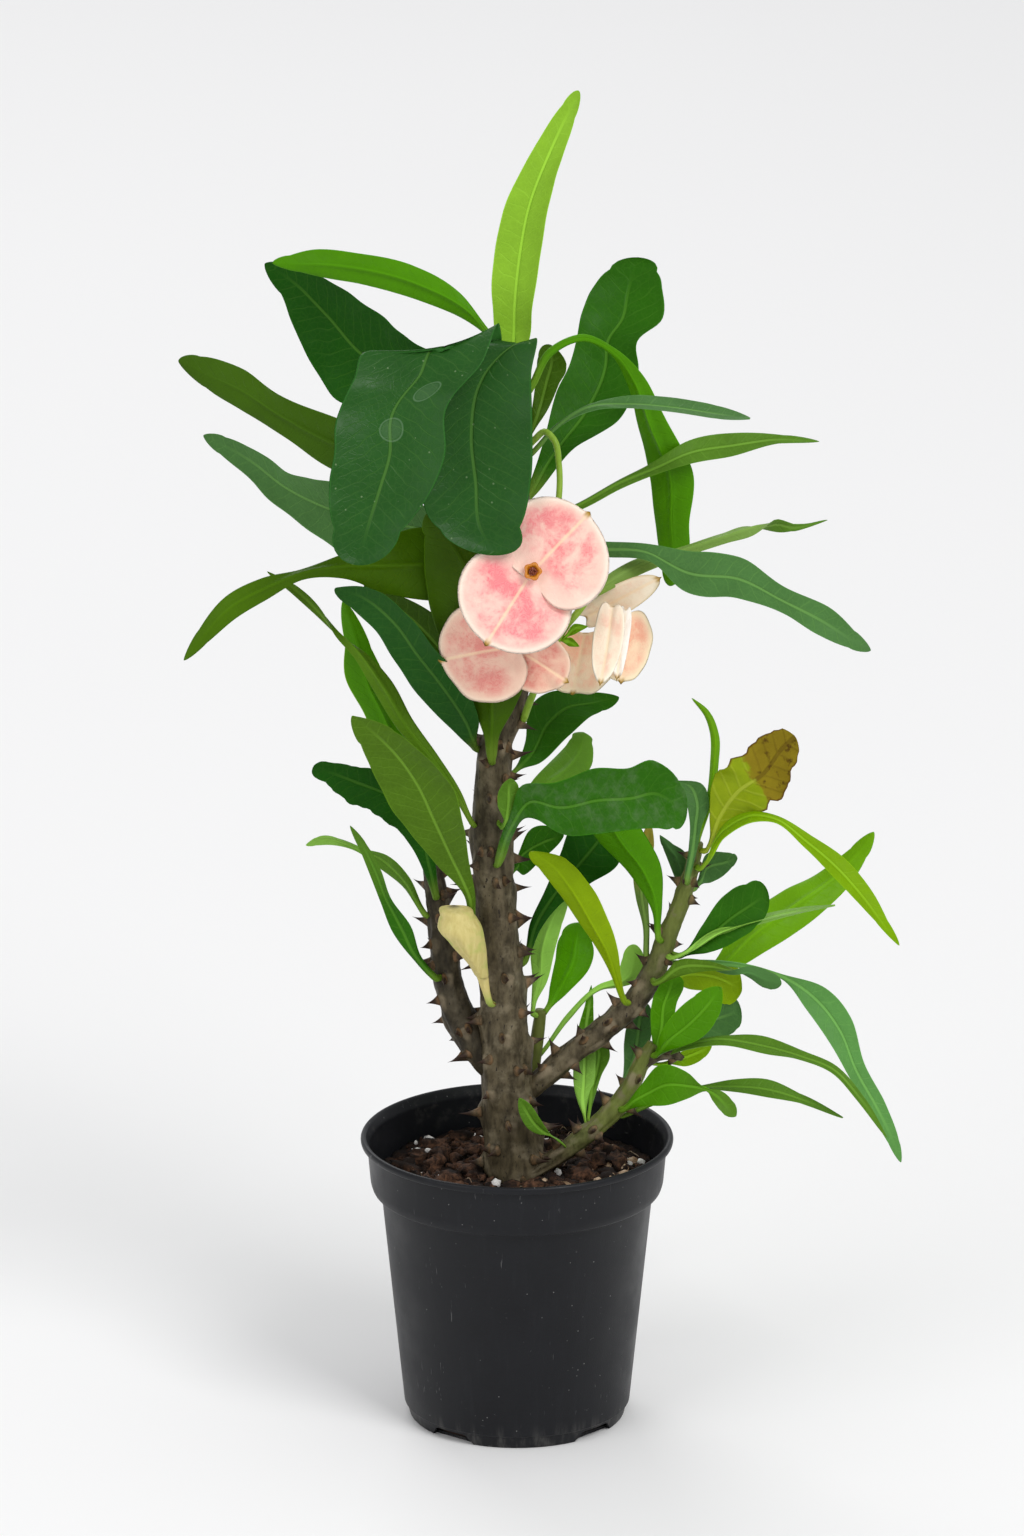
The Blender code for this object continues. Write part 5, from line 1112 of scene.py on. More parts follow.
def thorn_sites(name, taken):
    """(distance, turn) of each leaf scar with thorns, on a spiral, where nothing else is."""
    first, last, spacing, length = THORNS[name]
    centres, radii, _, sides, others, total = stem_path(name, PATH_POINTS)
    chance = random.Random(name)
    sites = []
    turn = chance.uniform(0, math.tau)
    distance = first
    while distance < min(last, total - 1):
        turn += math.radians(GOLDEN_ANGLE) + chance.uniform(-0.15, 0.15)
        index = int(distance / total * (PATH_POINTS - 1))
        out = sides[index] * math.cos(turn) + others[index] * math.sin(turn)
        foot = centres[index] + out * radii[index]
        if not crowded(taken, foot, foot + out * length):
            sites.append((distance, turn, chance.uniform(0.75, 1.15)))
        distance += spacing * chance.uniform(0.75, 1.25)
    return sites


def taken_places(name):
    """Points on the leaves and on the other stems, each with the distance thorns keep from it."""
    rows = []
    for other in STEMS:
        if other != name:
            centres, radii, *_ = stem_path(other, 60)
            rows.append(np.column_stack([centres, radii + THORN_CLEARANCE]))
    for stem, given in LEAVES.values():
        edges = leaf_rows(stem, given, np.linspace(0.0, 1.0, 26))[0]
        for share in np.linspace(0.0, 1.0, 7):
            places = edges[:, 0:3] * (1 - share) + edges[:, 3:6] * share
            rows.append(np.column_stack([places, np.full(len(places), LEAF_CLEARANCE)]))
    return np.concatenate(rows)


def crowded(taken, foot, tip):
    """Whether a thorn from foot to tip comes too near to a taken place."""
    for share in (0.15, 0.55, 1.0):
        place = foot * (1 - share) + tip * share
        if (np.linalg.norm(taken[:, 0:3] - place, axis=1) < taken[:, 3]).any():
            return True
    return False


def bark_relief(distances, turns):
    """Lumps of the bark at each distance along a stem and each turn round it."""
    relief = np.zeros((len(distances), len(turns)))
    for row, distance in enumerate(distances):
        for column, turn in enumerate(turns):
            x, y = math.cos(turn), math.sin(turn)
            wide = noise.noise(Vector((x * 2.2, y * 2.2, distance * 0.035)))
            close = noise.noise(Vector((x * 5.0, y * 5.0, distance * 0.3)))
            relief[row, column] = wide * 1.6 + close * 0.9
    return relief


def make_stem(name, look, sides=STEM_SIDES):
    """A lofted stem whose bark swells under each leaf scar, with curved thorns on the swellings."""
    total = stem_path(name, 60)[5]
    count = int(total / STEM_STEP) + 2
    centres, radii, tangents, side, other, _ = stem_path(name, count)
    distances = np.linspace(0.0, total, count)
    turns = even_turns(sides)
    thorny = name in THORNS
    sites = thorn_sites(name, taken_places(name)) if thorny else []
    swell = np.zeros((count, sides))
    for distance, turn, size in sites:
        behind = distances - distance
        reach = np.where(behind < 0, SCAR_BELOW, SCAR_ABOVE) * size
        around = (turns - turn + math.pi) % math.tau - math.pi
        gap = around[None, :] * radii[:, None] / SCAR_WIDTH
        swell += np.exp(-(gap**2)) * np.exp(-((behind / reach) ** 2))[:, None]
    swell = np.minimum(swell, SCAR_LIMIT)
    surface = radii[:, None] * WAIST
    if thorny:
        surface = surface + swell * np.minimum(radii, 12.0)[:, None] * CUSHION
        surface = surface + (bark_relief(distances, turns) - 1) * BARK_ROUGHNESS
    out = side[:, None] * np.cos(turns)[None, :, None] + other[:, None] * np.sin(turns)[None, :, None]
    points = (centres[:, None] + out * surface[:, :, None]).reshape(-1, 3)
    green = ramp(distances, *GREENING.get(name, ALL_GREEN))
    marks = np.zeros((count, sides, 3))
    marks[:, :, 1] = green[:, None]
    marks[:, :, 2] = swell
    parts = [(points, tube_faces(count, sides), {"bark": marks.reshape(-1, 3)})]
    chance = random.Random(name + "_thorns")
    for distance, turn, size in sites:
        row = int(distance / total * (count - 1))
        length = THORNS[name][3] * size
        pair = (-1, 1) if chance.random() < PAIR_CHANCE else (chance.choice((-1, 1)),)
        for hand in pair:
            angle = turn + hand * PAIR_GAP / radii[row]
            direction = side[row] * math.cos(angle) + other[row] * math.sin(angle)
            foot = centres[row] + direction * (radii[row] + 0.4)
            parts.append(thorn(foot, direction, tangents[row], length, hand, green[row], chance))
    return add_piece(name + "_look", parts, look, name if name in STEMS else None)


def thorn(foot, out, up, length, hand, green, chance):
    """A curved spine with a broad flat foot."""
    across = np.cross(out, up)
    shares = np.linspace(0.0, 1.0, THORN_ROWS + 1)[:-1]
    rise = chance.uniform(-0.25, 0.35)
    curl = chance.uniform(0.1, 0.5)
    length *= chance.uniform(0.85, 1.2)

    def middle(share):
        lifted = up * length * (rise * share + curl * share**2 * 0.5)
        return foot + out * length * share + lifted + across * hand * length * THORN_SPLAY * share

    points = []
    for share in shares:
        sunk = middle(share) - out * 1.2 * (1 - share)
        thin = (1 - share) ** 1.7
        tall, wide = (a * thin + b * (1 - share) for a, b in zip(THORN_FOOT, THORN_TIP))
        for angle in even_turns(THORN_SIDES):
            points.append(sunk + up * math.cos(angle) * tall + across * math.sin(angle) * wide)
    end = middle(1.0)
    points.append(end)
    marks = np.zeros((len(points), 3))
    marks[:-1, 0] = np.repeat(shares, THORN_SIDES)
    marks[-1, 0] = 1.0
    marks[:, 1] = green * 0.5
    return np.array(points), tube_faces(THORN_ROWS, THORN_SIDES, point_end=True), {"bark": marks}


# Leaves


def root_path(stem, place, heading):
    """Steps from a leaf's first row down to just inside its stem, bending towards the stem."""
    centres, radii, *_ = stem_path(stem, 200)
    path = [place]
    for step in range(1, ROOT_STEPS):
        gaps = np.linalg.norm(centres - place, axis=1) - radii
        index = int(np.argmin(gaps))
        if gaps[index] < -SUNK:
            break
        inward = unit(centres[index] - place)
        turn = min(1.0, (step / ROOT_TURN) ** 2)
        heading = unit(heading * (1 - turn) + inward * turn)
        place = place + heading * ROOT_STEP
        path.append(place)
    return path


def leaf_rows(stem, given, shares):
    """A leaf's edges and their directions from its stem to its tip, and how far along each is."""
    *sides, (tip_x, tip_z, tip_toward) = given
    sides.append((tip_x, tip_z, tip_x, tip_z, tip_toward, 0))
    edges = []
    for left_x, left_z, right_x, right_z, toward, tilt in sides:
        left = sighted(left_x, left_z, toward - tilt / 2)
        right = sighted(right_x, right_z, toward + tilt / 2)
        edges.append(np.concatenate([left, right]))
    first = (edges[0][:3] + edges[0][3:]) / 2
    second = (edges[1][:3] + edges[1][3:]) / 2
    across = edges[0][3:] - edges[0][:3]
    path = root_path(stem, first, unit(first - second))
    start = []
    for index in (-1, len(path) // 2):
        side = unit(across) * min(np.linalg.norm(across), PETIOLE_WIDTH) / 2
        start.append(np.concatenate([path[index] - side, path[index] + side]))
    if len(path) < SHORT_ROOT:
        start = start[:1]
    rows = np.array(start + edges)
    knots = row_distances(rows)
    at = shares * knots[-1]
    return *smooth_rows(rows, knots, at), at, knots


def make_leaf(name, look, slot="leaf", cup=1.0, roundness=1.45, wave=1.0, roll=0.0, ragged=0.0):
    """A closed blade with a round stalk, a midrib, a soft channel and a wavy margin."""
    stem, given = ALL_LEAVES[name]
    length = leaf_rows(stem, given, np.array([0.0, 1.0]))[3][-1]
    count = max(BLADE_ROWS, int(length / LEAF_STEP))
    near_tip = 1 - np.array([1.6, 1.0, 0.5, 0.15]) / length
    shares = np.concatenate([np.linspace(0.0, 1 - 2.2 / length, count), near_tip])
    rows, changes, at, knots = leaf_rows(stem, given, shares)
    left, right = rows[:, 0:3], rows[:, 3:6]
    middle = (left + right) / 2
    half = (right - left) / 2
    last = (at - knots[-2]) / (knots[-1] - knots[-2])
    ending = last > 0
    full = np.linalg.norm(half[~ending][-1])
    taper = full * (1 - last[ending] ** roundness) ** (1 / roundness)
    half[ending] = unit(half[ending]) * taper[:, None]
    tangent = unit(changes[:, 0:3] + changes[:, 3:6])
    upward = unit(np.cross(half, tangent))
    width = 2 * np.linalg.norm(half, axis=1)
    open_ = np.maximum(ramp(width, *STALK_TO_BLADE), ramp(shares, 0.25, 0.5))
    columns = np.array([-v for v in BLADE_COLUMNS[:0:-1]] + list(BLADE_COLUMNS))
    chance = random.Random(name)
    phases = [chance.uniform(0, math.tau) for _ in range(4)]
    ripple = np.zeros((len(rows), len(columns)))
    for hand in (-1, 1):
        beat = np.sin(at / RIPPLE_LENGTHS[0] + phases[0] + hand)
        beat += 0.7 * np.sin(at / RIPPLE_LENGTHS[1] + phases[1] - 2 * hand)
        on_side = np.clip(columns * hand, 0, 1) ** 2
        ripple += beat[:, None] * on_side[None, :]
    size = wave * RIPPLE * ramp(width, 6.0, 26.0) * (1 - ramp(shares, 0.8, 1.0))
    sag = -BLADE_CUP * cup * (width * open_)[:, None] * (1 - columns[None, :] ** 2)
    lift = sag + ripple * size[:, None]
    groove = np.exp(-((columns[None, :] * width[:, None] / 2) ** 2) / 0.9)
    fade = (1 - ramp(shares, 0.55, 1.0))[:, None]
    lift = lift - groove * GROOVE * fade * open_[:, None]
    round_half = PETIOLE_THICKNESS / 2 * np.sqrt(1 - columns**2)
    flat_half = BLADE_THICKNESS / 2 * (1 - columns**6)
    thick = round_half[None, :] * (1 - open_[:, None]) + flat_half[None, :] * open_[:, None]
    rib = groove * (RIB[0] + RIB[1] * fade) * open_[:, None]
    across = half[:, None] * columns[None, :, None]
    if ragged:
        for row, distance in enumerate(at):
            for hand in (-1, 1):
                tear = noise.noise(Vector((distance / TEAR_LENGTHS[0], hand * 9.0, phases[2])))
                tear += 0.6 * noise.noise(Vector((distance / TEAR_LENGTHS[1], hand * 9.0, phases[3])))
                worn = 1 + ragged * tear * float(ramp(shares[row], 0.3, 0.6))
                across[row, columns * hand > 0] *= worn
    if roll:
        angle = columns * math.radians(roll)
        radius = np.linalg.norm(half, axis=1) / math.sin(math.radians(min(roll, 90.0)))
        curl = (width > 6.0)[:, None] * 1.0
        bent = radius[:, None] * np.sin(angle)[None, :]
        bent = bent * curl + (1 - curl) * columns * width[:, None] / 2
        across = unit(half)[:, None] * bent[:, :, None]
        lift = lift + curl * radius[:, None] * (math.cos(math.radians(roll)) - np.cos(angle))[None, :]
    body = middle[:, None] + across
    top = body + upward[:, None] * (lift + thick)[:, :, None]
    bottom = body + upward[:, None] * (lift - thick - rib)[:, :, None]
    ring = np.concatenate([top, bottom[:, -2:0:-1]], axis=1)
    sides = ring.shape[1]
    v = np.concatenate([columns, columns[-2:0:-1]])
    upper = np.concatenate([np.ones(len(columns)), -np.ones(len(columns) - 2)])
    upper[0] = upper[len(columns) - 1] = 0.0
    points = np.vstack([ring.reshape(-1, 3), middle[-1] + tangent[-1] * 0.15])
    blade = np.zeros((len(rows), sides, 3))
    blade[:, :, 0] = v[None, :] * width[:, None] / 2
    blade[:, :, 1] = at[:, None]
    blade[:, :, 2] = upper[None, :]
    spread = np.zeros((len(rows), sides, 3))
    spread[:, :, 0] = np.abs(v)[None, :]
    spread[:, :, 1] = shares[:, None]
    marks = {
        "blade": np.vstack([blade.reshape(-1, 3), (0, at[-1], 0)]),
        "spread": np.vstack([spread.reshape(-1, 3), (1, 1, 0)]),
    }
    part = points, tube_faces(len(rows), sides, point_end=True), marks
    return add_piece(name + "_look", [part], look, name if name in LEAVES else None)


# Flowers


def facing(turn, rise):
    """The three directions of a flower: its own right, its own up, and the way it faces."""
    turning = Matrix.Rotation(math.radians(turn), 3, "Z") @ Matrix.Rotation(math.radians(-rise), 3, "X")
    return [np.array(turning @ Vector(axis)) for axis in ((1, 0, 0), (0, 0, 1), (0, -1, 0))]


def make_bract(name, look):
    """A round sheet held near its rim, cupped and ruffled, with a small point at its far end."""
    centre, aim, direction, fold, length, width, hold, cup, ruffle, slant, skew = BRACTS[name]
    flower_right, flower_up, front = facing(*aim)
    angle = math.radians(direction)
    along = flower_right * math.cos(angle) + flower_up * math.sin(angle)
    across = flower_up * math.cos(angle) - flower_right * math.sin(angle)
    bend = math.radians(fold)
    along, front = (
        along * math.cos(bend) + front * math.sin(bend),
        front * math.cos(bend) - along * math.sin(bend),
    )
    origin = sighted(*centre)
    reach = 1.0 - hold
    phase = random.Random(name).uniform(0, math.tau)
    turns = [turn if turn <= math.pi else turn - math.tau for turn in even_turns(BRACT_SIDES)]
    points, marks, faces = [], [], []

    def place(share, turn, side):
        nib = NIB * math.exp(-((turn / 0.055) ** 2)) * share**8
        nib += NECK * length * math.exp(-(((math.pi - abs(turn)) / 0.5) ** 2)) * share**2
        forward = (hold + reach * share * math.cos(turn)) * length + nib
        sideways = reach * width * share * math.sin(turn) * length
        sideways += skew * share * (1 - share * math.cos(turn))
        height = cup * (forward**2 + sideways**2) / length - slant * sideways
        height += ruffle * share**3 * (math.sin(5 * turn + phase) + 0.5 * math.sin(9 * turn + 2 * phase))
        height -= CREASE * math.exp(-((sideways / 1.1) ** 2)) * min(1.0, max(forward, 0) / 6)
        offset = side * BRACT_THICKNESS / 2 * (1.0 - share**6)
        points.append(origin + along * forward + across * sideways + front * (height + offset))
        marks.append((forward, sideways, share))

    for turn in turns:
        place(1.0, turn, 0)
    for side in (1, -1):
        outer = 0
        for ring in range(BRACT_RINGS - 1, 0, -1):
            inner = len(points)
            for turn in turns:
                place(ring / BRACT_RINGS, turn, side)
            for i in range(BRACT_SIDES):
                after = (i + 1) % BRACT_SIDES
                faces.append((outer + i, outer + after, inner + after, inner + i))
            outer = inner
        place(0.0, 0.0, side)
        last = len(points) - 1
        faces += [(outer + i, outer + (i + 1) % BRACT_SIDES, last) for i in range(BRACT_SIDES)]
    part = np.array(points), faces, {"sheet": np.array(marks)}
    node = None if name == "half_open_inner_bract" else name
    return add_piece(name + "_look", [part], look, node)


def make_centre(name, look):
    """A cup ringed by rounded nectar glands, with a dark tufted middle."""
    place, aim, radius, height = CYATHIA[name]
    right, up, front = facing(*aim)
    foot = sighted(*place)
    turns = even_turns(CENTRE_SIDES)
    profile = (
        (0.55, -0.9), (0.80, 0.05), (0.98, 0.35), (1.04, 0.55), (0.98, 0.78), (0.84, 0.88),
        (0.66, 0.74), (0.52, 0.50), (0.40, 0.45), (0.26, 0.72), (0.10, 0.80),
    )
    points, marks = [], []
    for share, rise in profile:
        lobes = 1 + 0.10 * np.cos(5 * turns) * (share > 0.6)
        for turn, lobe in zip(turns, lobes):
            out = right * math.cos(turn) + up * math.sin(turn)
            points.append(foot + out * share * lobe * radius + front * rise * height)
            marks.append((share, 0, 0))
    faces = tube_faces(len(profile), CENTRE_SIDES)
    parts = [(np.array(points), faces, {"cup": np.array(marks)})]
    chance = random.Random(name)
    for _ in range(CENTRE_TUFTS):
        turn = chance.uniform(0, math.tau)
        reach = chance.uniform(0.0, 0.42) * radius
        out = right * math.cos(turn) + up * math.sin(turn)
        start = foot + out * reach + front * height * 0.55
        lean = unit(front + out * chance.uniform(0.0, 0.5))
        tuft, faces = rod([start, start + lean * 0.9, start + lean * 1.7], 0.20, 0.30)
        parts.append((tuft, faces, {"cup": np.tile((0.3, 0, 0), (len(tuft), 1))}))
    return add_piece(name + "_look", parts, look, name)


def rod(path, first, last, sides=7):
    """A thin closed tube along a few points."""
    path = np.array(path)
    tangents = unit(np.gradient(path, axis=0))
    points = []
    for place, tangent, radius in zip(path, tangents, np.linspace(first, last, len(path))):
        side = unit(np.cross(tangent, (0.31, 0.9, 0.27)))
        other = np.cross(tangent, side)
        for angle in even_turns(sides):
            points.append(place + (side * math.cos(angle) + other * math.sin(angle)) * radius)
    return np.array(points), tube_faces(len(path), sides)


# Pot and potting mix


def turned(profile, sides):
    """A closed solid turned about Z from (radius, height) points that start and end on the axis."""
    points = [(0.0, 0.0, profile[0][1])]
    for radius, height in profile[1:-1]:
        points += [(radius * math.cos(t), radius * math.sin(t), height) for t in even_turns(sides)]
    points.append((0.0, 0.0, profile[-1][1]))
    rings = len(profile) - 2
    last = 1 + (rings - 1) * sides
    faces = ring_faces(rings, sides, 1)
    for side in range(sides):
        after = (side + 1) % sides
        faces += [(0, 1 + after, 1 + side), (last + side, last + after, len(points) - 1)]
    return np.array(points), faces


def rounded(corners):
    """A profile with each inner corner, given as (radius, height, rounding), cut to an arc."""
    steps = 4
    made = []
    for index, (x, z, rounding) in enumerate(corners):
        if rounding == 0 or index in (0, len(corners) - 1):
            made.append((x, z))
            continue
        here = np.array((x, z))
        before = here + unit(np.array(corners[index - 1][:2]) - here) * rounding
        after = here + unit(np.array(corners[index + 1][:2]) - here) * rounding
        for step in range(steps + 1):
            t = step / steps
            made.append(tuple(before * (1 - t) ** 2 + here * 2 * t * (1 - t) + after * t**2))
    return made


def make_pot(look):
    """The moulded pot, with a rolled lip, a stepped band, a seam and notches round its foot."""
    band = POT_HEIGHT - RIM_BAND
    corners = (
        (0, 0.5, 0),
        (30, 0.5, 0),
        (32, 0, 0.4),
        (FOOT_RADIUS - 0.6, 0, 0.8),
        (FOOT_RADIUS + 0.7, SEAM_HEIGHT - 0.4, 0.3),
        (SEAM_RADIUS, SEAM_HEIGHT + 0.2, 0.3),
        (BODY_TOP_RADIUS - 0.5, band - 2.2, 0),
        (BODY_TOP_RADIUS, band - 0.9, 0.5),
        (BAND_FOOT_RADIUS - 1.0, band - 0.1, 0.9),
        (BAND_FOOT_RADIUS, band + 2.6, 1.6),
        (BAND_TOP_RADIUS, POT_HEIGHT - 3.6, 0.5),
        (RIM_RADIUS - 0.4, POT_HEIGHT - 3.0, 0.7),
        (RIM_RADIUS, POT_HEIGHT - 1.2, 0.8),
        (RIM_RADIUS - 0.9, POT_HEIGHT, 0.7),
        (RIM_RADIUS - 2.2, POT_HEIGHT - 0.4, 0.6),
        (BAND_TOP_RADIUS - WALL, POT_HEIGHT - 4.0, 0.8),
        (BAND_FOOT_RADIUS - WALL + 0.1, band + 2.6, 1.2),
        (BODY_TOP_RADIUS - WALL, band + 0.6, 0.8),
        (FOOT_RADIUS + 0.9 - WALL, SEAM_HEIGHT, 0.3),
        (FOOT_RADIUS - WALL - 0.3, WALL, 0.6),
        (0, WALL, 0),
    )
    points, faces = turned(rounded(corners), POT_SIDES)
    heights = points[:, 2]
    wall_at = np.interp(heights, (0, band, POT_HEIGHT), (FOOT_RADIUS, BODY_TOP_RADIUS, RIM_RADIUS - 2.0))
    inside = (np.hypot(points[:, 0], points[:, 1]) < wall_at - 0.6) & (heights > WALL)
    marks = np.column_stack([heights, inside, np.zeros(len(points))])
    pot = add_piece("nursery_pot_look", [(points, faces, {"pot": marks})], look, "nursery_pot")
    for angle in NOTCH_ANGLES:
        cut_notch(pot, angle)
    pot.data.set_sharp_from_angle(angle=math.radians(38))
    return pot


def cut_notch(pot, angle):
    """Takes a drainage notch with sloping ends and a rounded top out of the pot's foot."""
    half = NOTCH_WIDTH / 2
    high = NOTCH_HEIGHT
    corners = (half, -2.0), (half - 0.6, 0.6), (half - 3.0, high - 0.6), (half - 4.4, high)
    outline = [*corners, *((-across, height) for across, height in reversed(corners))]
    shape = bmesh.new()
    ends = []
    for radius in (FOOT_RADIUS - 4.0, FOOT_RADIUS + 6.0):
        ends.append([shape.verts.new((radius, across, height)) for across, height in outline])
        shape.faces.new(ends[-1])
    for i in range(len(outline)):
        after = (i + 1) % len(outline)
        shape.faces.new((ends[0][i], ends[0][after], ends[1][after], ends[1][i]))
    bmesh.ops.recalc_face_normals(shape, faces=shape.faces)
    turn = Matrix.Rotation(math.radians(angle), 4, "Z")
    bmesh.ops.transform(shape, matrix=Matrix.Scale(MM, 4) @ turn, verts=shape.verts)
    cutter = add_object("notch", mesh_from(shape, "notch"))
    modifier = pot.modifiers.new("notch", "BOOLEAN")
    modifier.operation = "DIFFERENCE"
    modifier.solver = "EXACT"
    modifier.object = cutter
    with bpy.context.temp_override(object=pot, active_object=pot):
        bpy.ops.object.modifier_apply(modifier=modifier.name)
    bpy.data.objects.remove(cutter)


def soil_lift(x, y):
    """Height of the potting mix above its mean level."""
    wide = noise.noise(Vector((x * 0.05, y * 0.05, 3.1))) * 3.0
    lumps = noise.noise(Vector((x * 0.22, y * 0.22, 7.7))) * 1.6
    crumbs = noise.noise(Vector((x * 0.7, y * 0.7, 1.3))) * 0.8
    heap = 2.0 * math.exp(-((math.hypot(x + 1, y) / 17) ** 2))
    return wide + lumps + crumbs + heap - 0.8


def make_soil(look):
    """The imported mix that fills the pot, with a crumbly top."""
    profile = [(SOIL_RADIUS * ring / SOIL_RINGS, SOIL_HEIGHT) for ring in range(SOIL_RINGS + 1)]
    profile += [
        (BODY_TOP_RADIUS - WALL - 0.6, POT_HEIGHT - RIM_BAND + 0.2),
        (FOOT_RADIUS - WALL, SEAM_HEIGHT),
        (FOOT_RADIUS - WALL - 2, WALL + 0.5),
        (0, WALL + 0.5),
    ]
    points, faces = turned(profile, SOIL_SIDES)
    for point in points[: 1 + SOIL_RINGS * SOIL_SIDES]:
        point[2] += soil_lift(point[0], point[1])
    return add_piece("potting_mix_look", [(points, faces, {})], look, "potting_mix")


def ball():
    """Points and faces of a small round lump."""
    shape = bmesh.new()
    bmesh.ops.create_icosphere(shape, subdivisions=2, radius=1.0)
    points = np.array([vert.co[:] for vert in shape.verts])
    faces = [tuple(vert.index for vert in face.verts) for face in shape.faces]
    shape.free()
    return points, faces


def clear_of_stems(x, y, margin):
    """Whether a place on the potting mix is beside the stems that come out of it."""
    if math.hypot(x + 1, y) < STEM_FOOT + margin:
        return False
    return not (0 < x < 30 and abs(y + 7) < 6.5 - x * 0.12 + margin)


def scatter(name, look, count, smallest, largest, flatness, uneven, area):
    """Irregular lumps strewn over the potting mix, some half sunk."""
    chance = random.Random(name)
    base, base_faces = ball()
    parts = []
    while len(parts) < count:
        x, y = area(chance)
        if math.hypot(x, y) > SOIL_RADIUS - 1.4 * largest or not clear_of_stems(x, y, 0.5):
            continue
        size = smallest + (largest - smallest) * chance.random() ** 2.2
        breadth = chance.uniform(0.55, 0.95)
        stretch = size * np.array([1.0, breadth, flatness * chance.uniform(0.7, 1.2)])
        seed = Vector([chance.uniform(0, 99) for _ in range(3)])
        dents = np.array([1 + uneven * noise.noise(Vector(p) * 1.6 + seed) for p in base])
        spin = Matrix.Rotation(chance.uniform(0, math.tau), 3, "Z")
        spin = spin @ Matrix.Rotation(chance.uniform(-0.6, 0.6), 3, "X")
        points = (base * dents[:, None] * stretch) @ np.array(spin).T
        height = SOIL_HEIGHT + soil_lift(x, y) + size * flatness * chance.uniform(-0.1, 0.5)
        parts.append((points + (x, y, height), base_faces, {}))
    return add_piece(name, parts, look)


def anywhere(chance):
    """A place on the potting mix, all places being as likely."""
    radius = SOIL_RADIUS * math.sqrt(chance.random())
    turn = chance.uniform(0, math.tau)
    return radius * math.cos(turn), radius * math.sin(turn)


def at_right(chance):
    """A place on the right of the potting mix, where the pumice lies."""
    return chance.gauss(36, 10), chance.gauss(-6, 16)


def make_fibres(look):
    """Thin bent roots and fibres lying on the potting mix."""
    chance = random.Random("fibres")
    parts = []
    while len(parts) < FIBRES:
        x, y = anywhere(chance)
        length = chance.uniform(5, 15)
        turn = chance.uniform(0, math.tau)
        bend = chance.uniform(-0.12, 0.12)
        path = []
        for step in range(7):
            path.append((x, y, SOIL_HEIGHT + soil_lift(x, y) + 0.6 + 1.2 * math.sin(step)))
            turn += bend * length / 6
            x += math.cos(turn) * length / 6
            y += math.sin(turn) * length / 6
        inside = all(math.hypot(px, py) < SOIL_RADIUS - 2 for px, py, _ in path)
        if inside and all(clear_of_stems(px, py, 0) for px, py, _ in path):
            thick = chance.uniform(0.16, 0.34)
            parts.append((*rod(path, thick, thick * 0.5, 6), {}))
    return add_piece("potting_mix_fibres", parts, look)


# Setting


def make_floor():
    """A plain pale floor, wide enough to fill every view."""
    look = Shader("floor", 0.75, 0.2)
    shade = look.noise(look.place(), 900.0, 2.0)
    material = look.finish(look.mix(shade, *FLOOR_SHADES))
    shape = bmesh.new()
    bmesh.ops.create_circle(shape, cap_ends=True, segments=96, radius=FLOOR_RADIUS)
    mesh = mesh_from(shape, "floor")
    mesh.materials.append(material)
    add_object("floor", mesh)


def aimed(thing, place, aim):
    """Puts a light or a camera at a place, turned to look at another."""
    thing.location = place
    thing.rotation_euler = (Vector(aim) - Vector(place)).to_track_quat("-Z", "Y").to_euler()


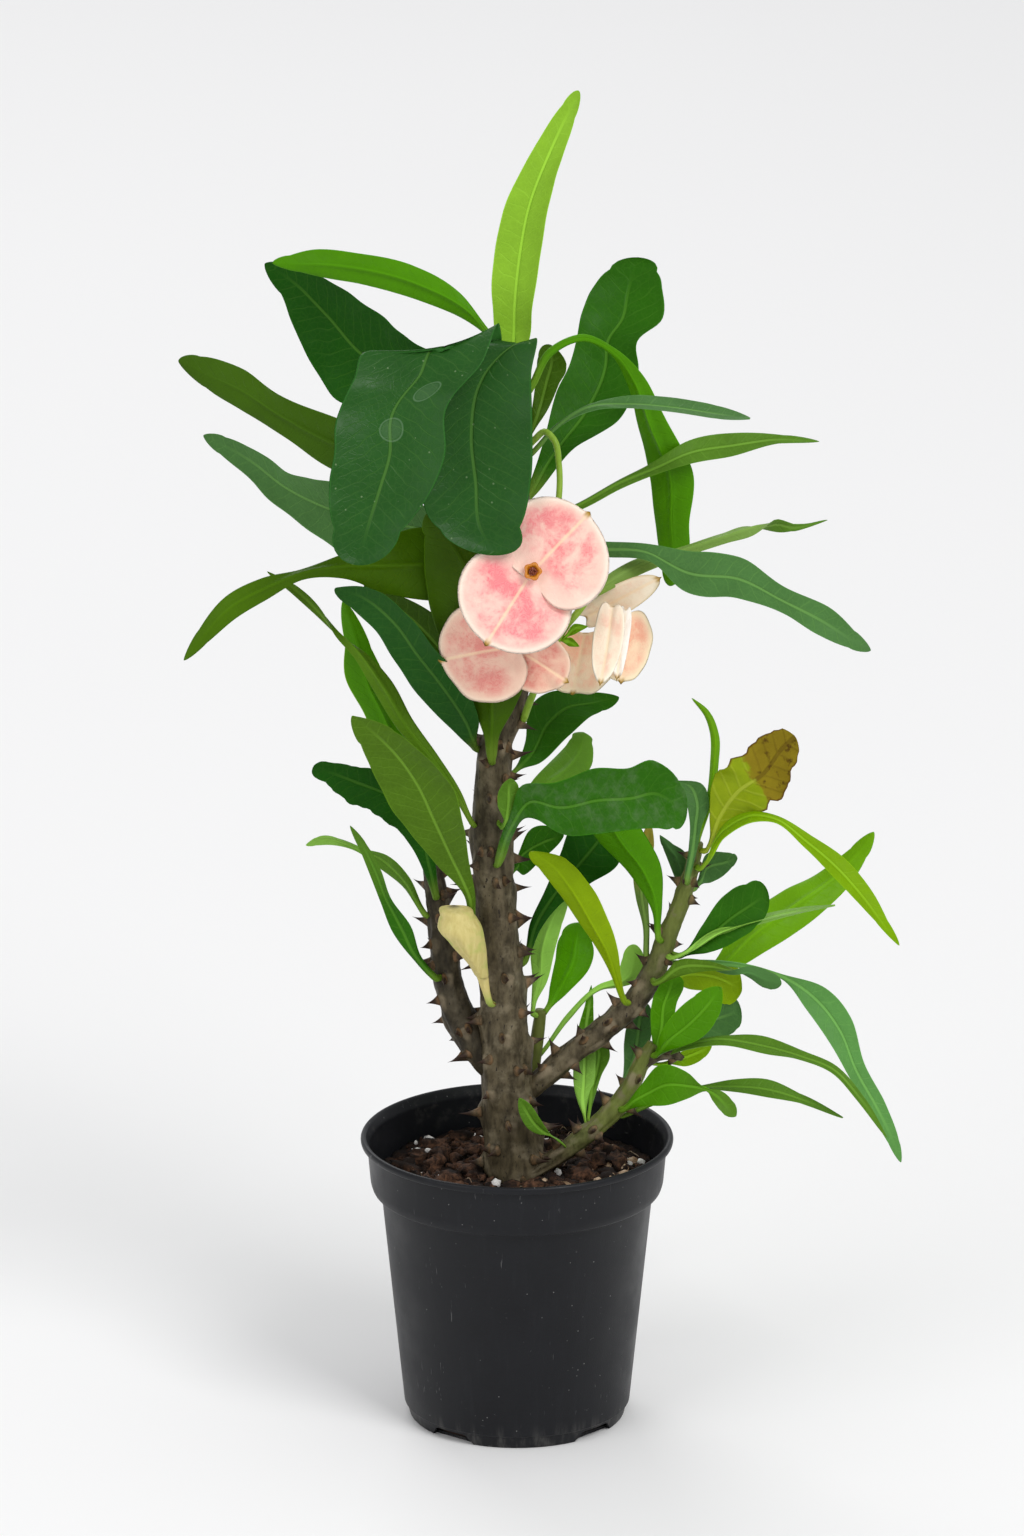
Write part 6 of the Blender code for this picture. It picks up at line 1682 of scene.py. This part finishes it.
def make_setting():
    """The floor, the lights, the even light from all sides, and the photograph's viewpoint."""
    make_floor()
    for name, place, height, size, power in LIGHTS:
        data = bpy.data.lights.new(name, "AREA")
        data.shape = "SQUARE"
        data.size = size
        data.energy = power
        aimed(add_object(name, data), place, (0, 0, height))
    world = bpy.data.worlds.new("studio")
    world.use_nodes = True
    background = world.node_tree.nodes["Background"]
    background.inputs["Color"].default_value = SKY
    background.inputs["Strength"].default_value = SKY_STRENGTH
    scene = bpy.context.scene
    scene.world = world
    scene.view_settings.view_transform = "Standard"
    data = bpy.data.cameras.new("camera")
    data.lens = LENS
    data.sensor_width = SENSOR
    data.clip_end = 100.0
    scene.camera = add_object("camera", data)
    aimed(scene.camera, VIEWER * MM, Vector((VIEWER[0], 0.0, AIM_HEIGHT)) * MM)


def make_plant():
    """The stems, the leaves and the flowers."""
    bark = bark_look()
    # The left stem gets a copy of the bark darkened to half, as painted shade.
    painted_shade_bark = bark_look("painted_shade_bark", 0.5)
    stalk = stalk_look()
    for name in ALL_STEMS:
        if name.endswith("_stalk"):
            make_stem(name, stalk, STALK_SIDES)
        else:
            make_stem(name, painted_shade_bark if name == "left_stem" else bark)
    for name, (colour, options, form) in (LEAF_LOOKS | EXTRA_LOOKS).items():
        if name == "browning_leaf":
            make_leaf(name, browning_look(), **form)
        elif name == "dry_rolled_leaf":
            make_leaf(name, dry_look(), "dry_leaf", **form)
        else:
            make_leaf(name, leaf_look(name, colour, **options), **form)
    for name, colours in BRACT_LOOKS.items():
        make_bract(name, bract_look(name, *colours))
    centre = centre_look()
    for name in CYATHIA:
        make_centre(name, centre)


def make_pot_and_soil():
    """The pot, the potting mix and what lies loose on it."""
    make_pot(pot_look())
    make_soil(soil_look("potting_mix", (24, 14, 9), (66, 42, 28), 2.2, 1.4))
    peat = soil_look("peat_crumbs", (26, 16, 10), (104, 72, 52), 2.0, 0.5)
    scatter("potting_mix_crumbs", peat, 430, 1.3, 5.6, 0.6, 1.0, anywhere)
    fine = soil_look("fine_crumbs", (22, 13, 8), (72, 46, 30), 1.2, 0.4)
    scatter("potting_mix_fine_crumbs", fine, 900, 0.5, 1.6, 0.8, 0.7, anywhere)
    white = soil_look("perlite", (214, 211, 206), (250, 248, 245), 0.9, 0.35, 0.7)
    scatter("potting_mix_perlite", white, 58, 0.9, 3.1, 0.85, 0.5, anywhere)
    beige = soil_look("pumice", (140, 112, 84), (216, 192, 164), 1.4, 0.4, 0.75)
    scatter("potting_mix_pumice", beige, 38, 1.4, 3.9, 0.75, 0.5, at_right)
    make_fibres(soil_look("fibres", (84, 56, 36), (190, 172, 146), 3.0, 0.1, 0.7))


make_pot_and_soil()
make_plant()
make_setting()

bpy.context.view_layer.update()
